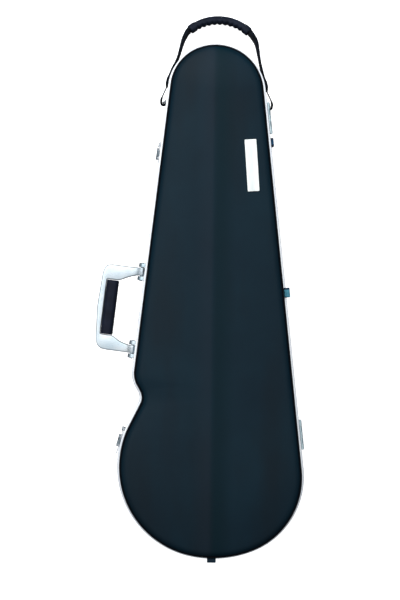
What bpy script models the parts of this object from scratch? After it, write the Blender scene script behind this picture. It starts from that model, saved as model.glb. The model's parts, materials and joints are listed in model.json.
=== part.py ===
"""Alto saxophone case, lying on its back feet with the lid up.

Units are metres and +Z is up. The narrow end points along +Y, the hinges are on the +X side and the
carrying handle and latches are on the -X side. The origin is on the floor under the middle of the
case's footprint. All places below are first written in case coordinates, whose X and Y are measured
from the middle of the shell, and one empty then moves the whole case to its origin.
"""

import math

import bmesh
import bpy
from mathutils import Matrix, Vector
from mathutils.bvhtree import BVHTree

MM = 0.001

# Shell outline, counterclockwise: circle centre x, centre y and radius. The notch curves inwards.
RIGHT_SHOULDER = (7.0 * MM, 280.0 * MM, 65.0 * MM)
LEFT_SHOULDER = (4.4 * MM, 286.0 * MM, 58.5 * MM)
WAIST_BEND = (-71.0 * MM, -98.0 * MM, 32.0 * MM)
NOTCH = (-112.5 * MM, -130.5 * MM, -20.0 * MM)
LEFT_FLARE = (-1.5 * MM, -224.0 * MM, 121.5 * MM)
RIGHT_FLARE = (18.0 * MM, -238.0 * MM, 105.5 * MM)
TAIL_RADIUS = 146.0 * MM
ARC_STEP = math.radians(11.0)
STRAIGHT_STEP = 75.0 * MM

# Heights above the floor and shell sections
FOOT_HEIGHT = 6.0 * MM
BASE_DEPTH = 94.0 * MM
LID_WALL_DEPTH = 42.0 * MM
SHOULDER_RADIUS = 16.0 * MM
DOME_RISE = 9.5 * MM
SHELL_WALL = 3.0 * MM
BASE_CORNER_RADIUS = 20.0 * MM
SPINE_TOP = (6.5 * MM, 282.0 * MM)
SPINE_BOTTOM = (1.0 * MM, -232.0 * MM)
DOME_SHARES = (0.35, 0.7, 0.92)
SHOULDER_ANGLES = (25.0, 50.0, 75.0)
CORNER_ANGLES = (0.0, 30.0, 60.0, 90.0)
CLEARANCE = 0.3 * MM
JOIN_STEP = 0.1 * MM

# Aluminium rim halves and the seal between them
RIM_PROUD = 3.5 * MM
RIM_HEIGHT = 11.0 * MM
RIM_CHAMFER = 1.4 * MM
RIM_WEB = 4.0 * MM
RIM_LEG_HEIGHT = 8.0 * MM
RIM_LEG = 1.8 * MM
SEAL_WIDTH = 3.0 * MM
SEAL_DEPTH = 2.2 * MM

# Fitted foam in the base, with pockets as x from, y from, x to, y to and corner radius
FOAM_TOP_DROP = 5.0 * MM
TUBE_CHANNEL = (-2.0 * MM, -40.0 * MM, 60.0 * MM, 308.0 * MM, 29.0 * MM)
BELL_POCKET = (-74.0 * MM, -190.0 * MM, 80.0 * MM, -18.0 * MM, 14.0 * MM)
BOW_POCKET = (-90.0 * MM, -314.0 * MM, 90.0 * MM, -168.0 * MM, 62.0 * MM)
NECK_POCKET = (-51.0 * MM, 0.0 * MM, -12.0 * MM, 150.0 * MM, 9.0 * MM)
MOUTHPIECE_POCKET = (-42.0 * MM, 161.0 * MM, -12.0 * MM, 250.0 * MM, 9.0 * MM)
TUBE_CHANNEL_FLOOR = 32.0 * MM
BELL_POCKET_FLOOR = 22.0 * MM
NECK_POCKET_FLOOR = 30.0 * MM
MOUTHPIECE_POCKET_FLOOR = 58.0 * MM
COMPARTMENT_LEDGE = 3.0 * MM
COMPARTMENT_LID_THICKNESS = 3.8 * MM
COMPARTMENT_LID_GAP = 0.4 * MM
TAB_SIZE = (12.0 * MM, 18.0 * MM, 1.2 * MM)

# Foam lining of the lid
LID_PAD_LIFT = 2.0 * MM
LID_PAD_WALL = 12.0 * MM
LID_PAD_CEILING_DROP = 14.0 * MM
LID_PAD_CEILING_CHAMFER = 5.6 * MM

# Name plate on the lid: middle, size and turn
PLATE_MIDDLE = (55.8 * MM, 181.9 * MM)
PLATE_WIDTH = 15.8 * MM
PLATE_LENGTH = 69.8 * MM
PLATE_THICKNESS = 1.4 * MM
PLATE_TURN = math.radians(3.6)

# Side handle, along the left wall: distance out of the wall, and distance along it towards the wide end
HANDLE_MIDDLE_Y = -14.0 * MM
HANDLE_DROP = 21.0 * MM
HANDLE_PIN_OUT = 7.5 * MM
HANDLE_ARM_SPREAD = 53.2 * MM
HANDLE_ARM_WIDTH = 11.6 * MM
HANDLE_TONGUE_RADIUS = 4.9 * MM
HANDLE_TONGUE_END = 16.0 * MM
HANDLE_THICKNESS = 11.6 * MM
HANDLE_CHAMFER = 2.2 * MM
HANDLE_BODY_START = 14.5 * MM
HANDLE_OUTER_POINTS = (
    (50.2 * MM, -58.3 * MM),
    (55.7 * MM, -56.4 * MM),
    (58.7 * MM, -52.1 * MM),
    (60.3 * MM, -44.0 * MM),
    (62.2 * MM, 1.0 * MM),
    (59.0 * MM, 41.0 * MM),
    (57.3 * MM, 50.8 * MM),
    (53.4 * MM, 56.1 * MM),
    (47.0 * MM, 58.3 * MM),
)
HANDLE_PIN_RADIUS = 1.9 * MM
HANDLE_EAR_THICKNESS = 5.5 * MM
HANDLE_EAR_RADIUS = 5.0 * MM
HANDLE_EAR_GAP = 0.5 * MM
HANDLE_PLATE = (26.0 * MM, 16.0 * MM, 2.0 * MM)
GRIP_INNER = 36.8 * MM
GRIP_OUTER = 53.1 * MM
GRIP_HALF_LENGTH = 37.3 * MM
GRIP_THICKNESS = 16.0 * MM
GRIP_ROUNDING = 6.5 * MM

# Latches on the left wall: middle y, plate width and lever width of each, then what both share
LATCHES = (
    ("latch_upper", 200.8 * MM, 30.0 * MM, 16.0 * MM),
    ("latch_lower", -190.4 * MM, 38.0 * MM, 17.0 * MM),
)
LATCH_LEVER_SHIFT = 1.2 * MM
LATCH_LOCK_RADIUS = 3.0 * MM
LATCH_LOCK_INSET = 3.8 * MM
LATCH_LOCK_HEIGHT = -24.0 * MM
LATCH_LOCK_PROUD = 6.8 * MM
LATCH_CLAW_BOSS_OPENING = 50.0
LATCH_PLATE_THICKNESS = 1.5 * MM
LATCH_PLATE_BOTTOM = 50.0 * MM
LATCH_PLATE_TOP = 12.5 * MM
LATCH_LEVER_PIVOT = (5.9 * MM, -20.0 * MM)
LATCH_CLAW_PIVOT = (4.6 * MM, -31.0 * MM)
LATCH_PIN_RADIUS = 0.9 * MM
LATCH_EAR_RADIUS = 2.4 * MM
LATCH_EAR_THICKNESS = 1.9 * MM
LATCH_CLAW_BOSS = 1.9 * MM
LATCH_LEVER_FACE = 6.5 * MM
LATCH_SHEET = 1.2 * MM
LATCH_LEVER_TOP = 35.0 * MM
LATCH_LEVER_BOTTOM = 50.0 * MM
LATCH_LIP = 0.9 * MM
KEEPER_THICKNESS = 1.1 * MM
KEEPER_BOTTOM = 1.6 * MM
KEEPER_TOP = 8.5 * MM

# Hinges on the right wall: middle y and length of each
HINGES = (("hinge_upper", 247.9 * MM, 42.0 * MM), ("hinge_lower", -182.2 * MM, 39.5 * MM))
HINGE_BARREL_RADIUS = 1.7 * MM
HINGE_PIN_RADIUS = 0.8 * MM
HINGE_LEAF_THICKNESS = 1.2 * MM
HINGE_LEAF_HEIGHT = 10.6 * MM
HINGE_LEAF_START = 3.2 * MM
HINGE_KNUCKLES = 5
HINGE_KNUCKLE_GAP = 0.4 * MM
PIN_PLAY = 0.2 * MM

# Rubber feet and bumpers
BACK_FEET = (
    ("back_foot_narrow_left", -26.0 * MM, 236.0 * MM),
    ("back_foot_narrow_right", 40.0 * MM, 236.0 * MM),
    ("back_foot_wide_left", -80.0 * MM, -226.0 * MM),
    ("back_foot_wide_right", 84.0 * MM, -226.0 * MM),
)
BACK_FOOT_RADIUS = 11.0 * MM
BACK_FOOT_TAPER = 2.0 * MM
# bumpers on the hinge side: place along the case, how far out each stands, and its length
SIDE_BUMPER_UPPER = (215.9 * MM, 7.9 * MM, 11.6 * MM)
SIDE_BUMPER_MIDDLE = (10.8 * MM, 8.1 * MM, 13.2 * MM)
BASE_BUMPER_HEIGHTS = (-48.0 * MM, -14.0 * MM)
LID_BUMPER_HEIGHTS = (12.5 * MM, 38.0 * MM)
BUMPER_CHAMFER = 1.5 * MM
END_FOOT_X = 1.4 * MM
END_FOOT_WIDTH = 11.8 * MM
END_FOOT_PROUD = 6.9 * MM

# Carrying strap at the narrow end. Its plane holds the line between the two lugs and slopes to the floor.
LUG_Y_LEFT = 270.4 * MM
LUG_Y_RIGHT = 264.9 * MM
LUG_HEIGHT = 52.0 * MM
LUG_SIZE = 18.0 * MM
LUG_FACE_OUT = 2.3 * MM
LUG_BORE_RADIUS = 2.3 * MM
EYE_DISC_RADIUS = 7.5 * MM
EYE_DISC_THICKNESS = 1.0 * MM
EYE_SHANK_RADIUS = 2.0 * MM
EYE_SHANK_LENGTH = 1.4 * MM
EYE_BAR_OUT = 7.6 * MM
EYE_BAR_RADIUS = 1.1 * MM
EYE_BAR_HALF_HEIGHT = 5.0 * MM
HOOK_WIRE_RADIUS = 0.75 * MM
HOOK_CURL_RADIUS = 1.15 * MM
HOOK_CURL_SHARE = 0.3
HOOK_PLAY = 0.25 * MM
HOOK_TIP = 4.2 * MM
STRAP_GRIP_ARC_RADIUS = 58.7 * MM
STRAP_GRIP_ARC_CENTRE = (0.3 * MM, 69.7 * MM)
STRAP_GRIP_HALF_ANGLE = math.radians(44.5)
STRAP_GRIP_REST_HEIGHT = 7.9 * MM
STRAP_GRIP_HALF_DEPTH = 6.6 * MM
STRAP_GRIP_HALF_THICKNESS = 5.1 * MM
STRAP_GRIP_RIDGE = 1.9 * MM
STRAP_GRIP_RIDGES = 9
STRAP_GRIP_STEPS = 54
STRAP_CUFF_SHARE = 0.12
STRAP_CUFF_SWELL = 0.9 * MM
WEBBING_WIDTH = 15.0 * MM
WEBBING_THICKNESSES = (
    (0.0, 5.6 * MM),
    (0.3, 4.3 * MM),
    (0.5, 3.0 * MM),
    (0.88, 2.9 * MM),
    (0.93, 4.4 * MM),
    (1.0, 4.2 * MM),
)
LEFT_WEBBING_POINTS = (
    (-49.0 * MM, 96.8 * MM),
    (-52.0 * MM, 84.3 * MM),
    (-54.7 * MM, 72.1 * MM),
    (-57.9 * MM, 61.3 * MM),
    (-63.8 * MM, 47.5 * MM),
    (-68.9 * MM, 27.0 * MM),
)
RIGHT_WEBBING_POINTS = (
    (51.4 * MM, 97.0 * MM),
    (54.9 * MM, 81.5 * MM),
    (58.1 * MM, 64.0 * MM),
    (62.5 * MM, 47.0 * MM),
    (68.0 * MM, 26.0 * MM),
)

SPLIT = FOOT_HEIGHT + BASE_DEPTH
SHOULDER_START = SPLIT + LID_WALL_DEPTH
PAD_OFFSET = SHELL_WALL + RIM_LEG + 2 * CLEARANCE
FOAM_TOP = SPLIT - FOAM_TOP_DROP
WALL_SEAT = CLEARANCE


# Outline geometry


def tail_circle():
    """Circle of the wide end's arc, which holds both flare circles and touches each from inside."""
    first, second, radius = LEFT_FLARE, RIGHT_FLARE, TAIL_RADIUS
    across = Vector(second[:2]) - Vector(first[:2])
    span = across.length
    to_first = radius - first[2]
    to_second = radius - second[2]
    along = (to_first**2 - to_second**2 + span**2) / (2 * span)
    aside = math.sqrt(to_first**2 - along**2)
    unit = across / span
    centre = Vector(first[:2]) + unit * along + Vector((-unit.y, unit.x)) * aside
    return (centre.x, centre.y, radius)


def outline_circles():
    """All circles of the outline in counterclockwise order."""
    return [RIGHT_SHOULDER, LEFT_SHOULDER, WAIST_BEND, NOTCH, LEFT_FLARE, tail_circle(), RIGHT_FLARE]


def tangent_normals(circles):
    """Outward normal of the straight stretch that leaves each circle for the next."""
    normals = []
    for here, there in zip(circles, circles[1:] + circles[:1]):
        across = Vector(there[:2]) - Vector(here[:2])
        unit = across.normalized()
        lean = max(-1.0, min(1.0, (here[2] - there[2]) / across.length))
        side = Vector((unit.y, -unit.x))
        normals.append(side * math.sqrt(1.0 - lean * lean) + unit * lean)
    return normals


def outline_with_normals(offset=0.0, arc_step=ARC_STEP):
    """Points and outward normals round the shell, moved out by offset (in, when negative)."""
    circles = outline_circles()
    normals = tangent_normals(circles)
    found = []
    for index, (x, y, radius) in enumerate(circles):
        arrive, leave = normals[index - 1], normals[index]
        start = math.atan2(arrive.y, arrive.x)
        sweep = (math.atan2(leave.y, leave.x) - start + math.pi) % (2 * math.pi) - math.pi
        steps = max(1, round(abs(sweep) / arc_step))
        for step in range(steps + 1):
            angle = start + sweep * step / steps
            normal = Vector((math.cos(angle), math.sin(angle)))
            found.append((Vector((x, y)) + normal * (radius + offset), normal))
        following = circles[(index + 1) % len(circles)]
        end = Vector(following[:2]) + leave * (following[2] + offset)
        run = (Vector(following[:2]) - Vector((x, y)) + leave * (following[2] - radius)).length
        pieces = max(1, round(run / STRAIGHT_STEP))
        start_point = found[-1][0]
        for piece in range(1, pieces):
            found.append((start_point.lerp(end, piece / pieces), leave.copy()))
        if run < CLEARANCE:
            found.pop()
    return found


def outline(offset, height):
    """Ring of 3D points round the shell at one height."""
    return [Vector((p.x, p.y, height)) for p, _ in outline_with_normals(offset)]


def wall_frame(y, left):
    """Frame on the wall at this y: X out of the wall, Y along it counterclockwise, Z up from the split."""
    ring = outline_with_normals(0.0, ARC_STEP / 16)
    best = None
    for (p, n), (q, m) in zip(ring, ring[1:] + ring[:1]):
        if (p.y - y) * (q.y - y) > 0 or p.y == q.y or (n.x < 0) != left:
            continue
        share = (y - p.y) / (q.y - p.y)
        best = (p.lerp(q, share), n.lerp(m, share).normalized())
    point, out = best
    return Matrix((
        (out.x, -out.y, 0.0, point.x),
        (out.y, out.x, 0.0, point.y),
        (0.0, 0.0, 1.0, SPLIT),
        (0.0, 0.0, 0.0, 1.0),
    ))


def end_frame(x):
    """Frame on the wide end's wall at this x, with X pointing out of the wall."""
    tail = tail_circle()
    out = Vector((x - tail[0], -math.sqrt(tail[2] ** 2 - (x - tail[0]) ** 2))).normalized()
    return Matrix((
        (out.x, -out.y, 0.0, tail[0] + out.x * tail[2]),
        (out.y, out.x, 0.0, tail[1] + out.y * tail[2]),
        (0.0, 0.0, 1.0, SPLIT),
        (0.0, 0.0, 0.0, 1.0),
    ))


def outward_frame(frame, along, height):
    """Frame at a place on the wall whose Z points out of the wall."""
    columns = [frame.col[index].to_3d() for index in (1, 2, 0)]
    place = Matrix.Translation(frame @ Vector((0, along, height)))
    return place @ Matrix(columns).transposed().to_4x4()


def toward_spine(point, share):
    """Moves a ring point towards the case's long middle line and raises it over the dome."""
    y = max(SPINE_BOTTOM[1], min(SPINE_TOP[1], point.y))
    along = (y - SPINE_BOTTOM[1]) / (SPINE_TOP[1] - SPINE_BOTTOM[1])
    x = SPINE_BOTTOM[0] + (SPINE_TOP[0] - SPINE_BOTTOM[0]) * along
    rise = DOME_RISE * (1.0 - (1.0 - share) ** 2)
    return Vector((point.x + (x - point.x) * share, point.y + (y - point.y) * share, point.z + rise))


def rounded_rectangle(x0, y0, x1, y1, radius, steps=4):
    """Counterclockwise points of a rectangle with round corners."""
    corners = ((x1 - radius, y1 - radius, 0), (x0 + radius, y1 - radius, 90))
    corners += ((x0 + radius, y0 + radius, 180), (x1 - radius, y0 + radius, 270))
    points = []
    for x, y, start in corners:
        for step in range(steps + 1):
            angle = math.radians(start + 90 * step / steps)
            points.append((x + radius * math.cos(angle), y + radius * math.sin(angle)))
    return points


def arc(centre, radius, start, end, steps):
    """Points on a circle from one angle to another, in degrees."""
    angles = [math.radians(start + (end - start) * step / steps) for step in range(steps + 1)]
    return [(centre[0] + radius * math.cos(a), centre[1] + radius * math.sin(a)) for a in angles]


def circle(centre, radius, sides):
    """Points right round a circle, without the first one twice."""
    return arc(centre, radius, 0, 360 - 360 / sides, sides - 1)


# Mesh building


def loft(rings, closed=False):
    """Skin of quads over rings of equal length, capped at both ends unless the rings close on themselves."""
    mesh = bmesh.new()
    rows = [[mesh.verts.new(point) for point in ring] for ring in rings]
    following = rows[1:] + (rows[:1] if closed else [])
    for low, high in zip(rows, following):
        for index in range(len(low)):
            after = (index + 1) % len(low)
            mesh.faces.new((low[index], low[after], high[after], high[index]))
    if not closed:
        mesh.faces.new(reversed(rows[0]))
        mesh.faces.new(rows[-1])
    return mesh


def make_object(name, mesh, look, sharp=35.0):
    """Turns a bmesh into a named object with smooth shading between its sharp edges."""
    bmesh.ops.recalc_face_normals(mesh, faces=mesh.faces)
    data = bpy.data.meshes.new(name)
    mesh.to_mesh(data)
    mesh.free()
    data.shade_smooth()
    data.set_sharp_from_angle(angle=math.radians(sharp))
    data.materials.append(look)
    made = bpy.data.objects.new(name, data)
    bpy.context.scene.collection.objects.link(made)
    return made


def chamfer(mesh, width, keep_axis):
    """Chamfers the edges round both end faces of an extrusion along the given axis."""
    ends = [f for f in mesh.faces if abs(f.normal.dot(keep_axis)) > 0.99]
    edges = {edge for face in ends for edge in face.edges}
    bmesh.ops.bevel(mesh, geom=list(edges), offset=width, segments=1, affect="EDGES", clamp_overlap=True)


def bar(section, start, end, frame, chamfer_width=0.0):
    """Extrudes a section, given as distance out and height, along the wall between two places."""
    rings = [[frame @ Vector((u, place, z)) for u, z in section] for place in (start, end)]
    mesh = loft(rings)
    if chamfer_width:
        bmesh.ops.recalc_face_normals(mesh, faces=mesh.faces)
        chamfer(mesh, chamfer_width, (frame.to_3x3() @ Vector((0, 1, 0))).normalized())
    return mesh


def plate(points, low, high, frame, chamfer_width=0.0):
    """Extrudes a plan, given as distance out and distance along, between two heights."""
    rings = [[frame @ Vector((u, t, height)) for u, t in points] for height in (low, high)]
    mesh = loft(rings)
    if chamfer_width:
        bmesh.ops.recalc_face_normals(mesh, faces=mesh.faces)
        chamfer(mesh, chamfer_width, Vector((0, 0, 1)))
    return mesh


def rod(centre, radius, start, end, frame, sides=12):
    """Round rod along the wall with its axis at the given distance out and height."""
    return bar(circle(centre, radius, sides), start, end, frame)


def sweep(path, section, sideways):
    """Sweeps a section along a path. section(share) gives points as distance aside and distance across."""
    rings = []
    for index, point in enumerate(path):
        before = path[max(index - 1, 0)]
        after = path[min(index + 1, len(path) - 1)]
        run = (after - before).normalized()
        across = sideways.cross(run).normalized()
        share = index / (len(path) - 1)
        rings.append([point + across * a + sideways * b for a, b in section(share)])
    return loft(rings)


def smooth_path(points, spacing):
    """Catmull-Rom curve through the points, sampled about every spacing."""
    found = []
    for index in range(len(points) - 1):
        p1, p2 = points[index], points[index + 1]
        p0 = points[index - 1] if index else p1 * 2 - p2
        p3 = points[index + 2] if index + 2 < len(points) else p2 * 2 - p1
        steps = max(1, round((p2 - p1).length / spacing))
        for step in range(steps):
            t = step / steps
            first = (p1 * 2) + (p2 - p0) * t
            second = (p0 * 2 - p1 * 5 + p2 * 4 - p3) * t * t
            third = (p1 * 3 - p0 - p2 * 3 + p3) * t * t * t
            found.append((first + second + third) * 0.5)
    return found + [points[-1]]


def helper(name, mesh):
    """Object that only shapes another through a Boolean."""
    made = make_object(name, mesh, looks["helper"])
    made.hide_render = True
    made.display_type = "WIRE"
    return made


def combine(target, mesh, operation, label):
    """Cuts the mesh from the target or joins it to the target."""
    tool = helper(f"{target.name}_{label}", mesh)
    step = target.modifiers.new(label, "BOOLEAN")
    step.operation = operation
    step.solver = "EXACT"
    step.object = tool
    helpers.append((tool, target))


def cut(target, mesh, label):
    """Removes the mesh from the target."""
    combine(target, mesh, "DIFFERENCE", label)


def join(target, mesh, label):
    """Adds the mesh to the target as one body."""
    combine(target, mesh, "UNION", label)


def material(name, colour, roughness, metallic):
    """Principled material from an sRGB hex colour."""
    made = bpy.data.materials.new(name)
    made.use_nodes = True
    shader = made.node_tree.nodes["Principled BSDF"]
    channels = [int(colour[k : k + 2], 16) / 255 for k in (0, 2, 4)]
    linear = [c / 12.92 if c <= 0.04045 else ((c + 0.055) / 1.055) ** 2.4 for c in channels]
    shader.inputs["Base Color"].default_value = (*linear, 1.0)
    shader.inputs["Roughness"].default_value = roughness
    shader.inputs["Metallic"].default_value = metallic
    return made


# Shells, rims and linings


def shell_rings(offset_in, lower_by):
    """Rings of the lid's outer surface, or of one inside it, from the open edge up to the crown."""
    radius = SHOULDER_RADIUS - offset_in
    rings = [outline(-offset_in, SPLIT + RIM_WEB + CLEARANCE), outline(-offset_in, SHOULDER_START)]
    for degrees in SHOULDER_ANGLES:
        angle = math.radians(degrees)
        inset = SHOULDER_RADIUS - radius * math.cos(angle)
        rings.append(outline(-inset, SHOULDER_START + radius * math.sin(angle)))
    outer_radius = SHOULDER_RADIUS
    angle = math.radians(SHOULDER_ANGLES[-1])
    brink = outline(-(outer_radius - outer_radius * math.cos(angle)), SHOULDER_START)
    brink_height = outer_radius * math.sin(angle)
    for share in DOME_SHARES:
        ring = [toward_spine(point, share) for point in brink]
        rings.append([point + Vector((0, 0, brink_height - lower_by)) for point in ring])
    return rings


def base_rings(offset_in, top):
    """Rings of the base's outer surface, or of one inside it, from the open edge down to the flat back."""
    radius = BASE_CORNER_RADIUS - offset_in
    centre = FOOT_HEIGHT + BASE_CORNER_RADIUS
    rings = [outline(-offset_in, top)]
    for degrees in CORNER_ANGLES:
        angle = math.radians(degrees)
        inset = BASE_CORNER_RADIUS - radius * math.cos(angle)
        rings.append(outline(-inset, centre - radius * math.sin(angle)))
    return rings


def make_lid_shell():
    outer = shell_rings(0.0, 0.0)
    inner = shell_rings(SHELL_WALL, SHELL_WALL)
    return make_object("lid_shell", loft(inner[::-1] + outer), looks["shell"])


def make_base_shell():
    top = SPLIT - RIM_WEB - CLEARANCE
    outer = base_rings(0.0, top)
    inner = base_rings(SHELL_WALL, top)
    return make_object("base_shell", loft(inner[::-1] + outer), looks["shell"])


def make_rim(name, up, with_seal_step):
    """Rim half whose groove takes the shell's edge. up is 1 on the lid and -1 on the base."""
    inside = -(SHELL_WALL + CLEARANCE)
    leg = inside - RIM_LEG
    face = CLEARANCE / 2
    profile = [
        (RIM_PROUD, face),
        (RIM_PROUD, RIM_HEIGHT - RIM_CHAMFER),
        (RIM_PROUD - RIM_CHAMFER, RIM_HEIGHT),
        (CLEARANCE, RIM_HEIGHT),
        (CLEARANCE, RIM_WEB),
        (inside, RIM_WEB),
        (inside, RIM_LEG_HEIGHT),
        (leg, RIM_LEG_HEIGHT),
    ]
    if with_seal_step:
        step = leg + SEAL_WIDTH + CLEARANCE
        profile += [(leg, face + SEAL_DEPTH + CLEARANCE), (step, face + SEAL_DEPTH + CLEARANCE), (step, face)]
    else:
        profile += [(leg, face)]
    rings = [outline(offset, SPLIT + up * height) for offset, height in profile]
    return make_object(name, loft(rings, closed=True), looks["aluminium"])


def make_seal():
    leg = -(SHELL_WALL + CLEARANCE + RIM_LEG)
    top, bottom = CLEARANCE / 2, CLEARANCE / 2 + SEAL_DEPTH
    profile = ((leg, top), (leg + SEAL_WIDTH, top), (leg + SEAL_WIDTH, bottom), (leg, bottom))
    rings = [outline(offset, SPLIT - depth) for offset, depth in profile]
    return make_object("rim_seal", loft(rings, closed=True), looks["rubber"])


def compartment_opening():
    """Plan of the ledge that carries the neck compartment's lid."""
    x0, y0, x1, y1, radius = NECK_POCKET
    ledge = COMPARTMENT_LEDGE
    return (x0 - ledge, y0 - ledge, x1 + ledge, y1 + ledge, radius + ledge)


def make_base_foam():
    rings = base_rings(SHELL_WALL + CLEARANCE, FOAM_TOP)
    rings[0] = outline(-PAD_OFFSET, FOAM_TOP)
    foam = make_object("base_foam", loft(rings[::-1]), looks["plush"])
    over = FOAM_TOP + LID_PAD_WALL
    pockets = (
        ("tube_channel", TUBE_CHANNEL, TUBE_CHANNEL_FLOOR),
        ("bell_pocket", BELL_POCKET, BELL_POCKET_FLOOR),
        ("bow_pocket", BOW_POCKET, BELL_POCKET_FLOOR),
        ("neck_pocket", NECK_POCKET, NECK_POCKET_FLOOR),
        ("mouthpiece_pocket", MOUTHPIECE_POCKET, MOUTHPIECE_POCKET_FLOOR),
    )
    for label, plan, floor in pockets:
        cut(foam, plate(rounded_rectangle(*plan), floor, over, Matrix()), label)
    depth = COMPARTMENT_LID_THICKNESS + COMPARTMENT_LID_GAP
    cut(foam, plate(rounded_rectangle(*compartment_opening()), FOAM_TOP - depth, over, Matrix()), "ledge")
    return foam


def make_compartment_lid():
    """Lid over the neck pocket and its pull tab, with the hinge line on the side towards the tube channel."""
    x0, y0, x1, y1, radius = compartment_opening()
    gap = COMPARTMENT_LID_GAP
    plan = rounded_rectangle(x0 + gap, y0 + gap, x1 - gap, y1 - gap, radius - gap)
    top = FOAM_TOP - CLEARANCE
    mesh = plate(plan, top - COMPARTMENT_LID_THICKNESS + CLEARANCE, top, Matrix())
    lid = make_object("neck_compartment_lid", mesh, looks["plush"])
    width, length, thickness = TAB_SIZE
    left, middle = x0 + gap, (y0 + y1) / 2
    points = rounded_rectangle(left, middle - length / 2, left + width, middle + length / 2, width / 4)
    low = top + CLEARANCE
    tab = make_object("neck_compartment_tab", plate(points, low, low + thickness, Matrix()), looks["webbing"])
    anchor = Vector((x1 - gap, middle, top + CLEARANCE))
    return [lid, tab], anchor


def make_lid_pad():
    outer = [outline(-PAD_OFFSET, SPLIT + LID_PAD_LIFT), outline(-PAD_OFFSET, SHOULDER_START)]
    inner_surface = shell_rings(SHELL_WALL, SHELL_WALL)
    radius = SHOULDER_RADIUS - PAD_OFFSET
    for degrees in SHOULDER_ANGLES[:-1]:
        angle = math.radians(degrees)
        inset = SHOULDER_RADIUS - radius * math.cos(angle)
        outer.append(outline(-inset, SHOULDER_START + radius * math.sin(angle)))
    for ring in inner_surface[-len(DOME_SHARES) - 1 :]:
        outer.append([point - Vector((0, 0, 2 * CLEARANCE)) for point in ring])
    inset = PAD_OFFSET + LID_PAD_WALL
    ceiling = SHOULDER_START + SHOULDER_RADIUS - LID_PAD_CEILING_DROP
    inner = [
        outline(-inset, SPLIT + LID_PAD_LIFT),
        outline(-inset, ceiling - LID_PAD_CEILING_CHAMFER),
        outline(-inset - LID_PAD_CEILING_CHAMFER, ceiling),
    ]
    return make_object("lid_pad", loft(inner[::-1] + outer), looks["plush"])


def make_name_plate(lid_shell):
    """Thin metal plate that follows the lid's surface."""
    surface = bmesh.new()
    surface.from_mesh(lid_shell.data)
    tree = BVHTree.FromBMesh(surface)
    turn = Matrix.Rotation(PLATE_TURN, 2)
    columns, rows = 2, 6
    outline_points = [(c / columns - 0.5, -0.5) for c in range(columns)]
    outline_points += [(0.5, r / rows - 0.5) for r in range(rows)]
    outline_points += [(0.5 - c / columns, 0.5) for c in range(columns)]
    outline_points += [(-0.5, 0.5 - r / rows) for r in range(rows)]
    rings = [[], [], []]
    for across, along in outline_points:
        flat = turn @ Vector((across * PLATE_WIDTH, along * PLATE_LENGTH)) + Vector(PLATE_MIDDLE)
        hit = tree.ray_cast(Vector((flat.x, flat.y, SPLIT * 3)), Vector((0, 0, -1)))[0]
        low = hit.z + CLEARANCE * 1.3
        rings[0].append(Vector((flat.x, flat.y, low)))
        rings[1].append(Vector((flat.x, flat.y, low + PLATE_THICKNESS * 0.7)))
        inner = Vector(PLATE_MIDDLE).lerp(flat, 1.0 - PLATE_THICKNESS * 0.3 / PLATE_WIDTH)
        rings[2].append(Vector((inner.x, inner.y, low + PLATE_THICKNESS)))
    surface.free()
    return make_object("name_plate", loft(rings), looks["bare_metal"])


# Side handle


def handle_frame_matrix():
    return wall_frame(HANDLE_MIDDLE_Y, left=True) @ Matrix.Translation((0, 0, -HANDLE_DROP))


def tongue_section(end):
    """Rounded section of an arm's tongue, from round its pin out to the frame."""
    tip = arc((HANDLE_PIN_OUT, 0.0), HANDLE_TONGUE_RADIUS, 90, 270, 6)
    return tip + [(end, -HANDLE_TONGUE_RADIUS), (end, HANDLE_TONGUE_RADIUS)]


def make_handle():
    """Cast frame and leather grip, which turn together on the two bracket pins."""
    frame = handle_frame_matrix()
    half, spread = HANDLE_ARM_WIDTH / 2, HANDLE_ARM_SPREAD
    gap_end = GRIP_HALF_LENGTH + CLEARANCE
    points = [(HANDLE_BODY_START, -spread - half), *HANDLE_OUTER_POINTS, (HANDLE_BODY_START, spread + half)]
    points += [(HANDLE_BODY_START, spread - half), (GRIP_INNER - MM, gap_end)]
    points += [(GRIP_OUTER + CLEARANCE, gap_end), (GRIP_OUTER + CLEARANCE, -gap_end)]
    points += [(GRIP_INNER - MM, -gap_end), (HANDLE_BODY_START, -spread + half)]
    thick = HANDLE_THICKNESS / 2
    casting = plate(points, -thick, thick, frame, HANDLE_CHAMFER)
    body = make_object("handle_frame", casting, looks["aluminium"])
    for label, side in (("upper", -1), ("lower", 1)):
        start, end = side * spread - half, side * spread + half
        join(body, bar(tongue_section(HANDLE_TONGUE_END), start, end, frame), f"{label}_tongue")
        bore = rod((HANDLE_PIN_OUT, 0.0), HANDLE_PIN_RADIUS + PIN_PLAY, start - MM, end + MM, frame)
        cut(body, bore, f"{label}_bore")
    section = rounded_rectangle(
        GRIP_INNER, -GRIP_THICKNESS / 2, GRIP_OUTER, GRIP_THICKNESS / 2, GRIP_ROUNDING, steps=3
    )
    grip_mesh = bar(section, -GRIP_HALF_LENGTH, GRIP_HALF_LENGTH, frame)
    return [body, make_object("handle_grip", grip_mesh, looks["leather"])]


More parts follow.
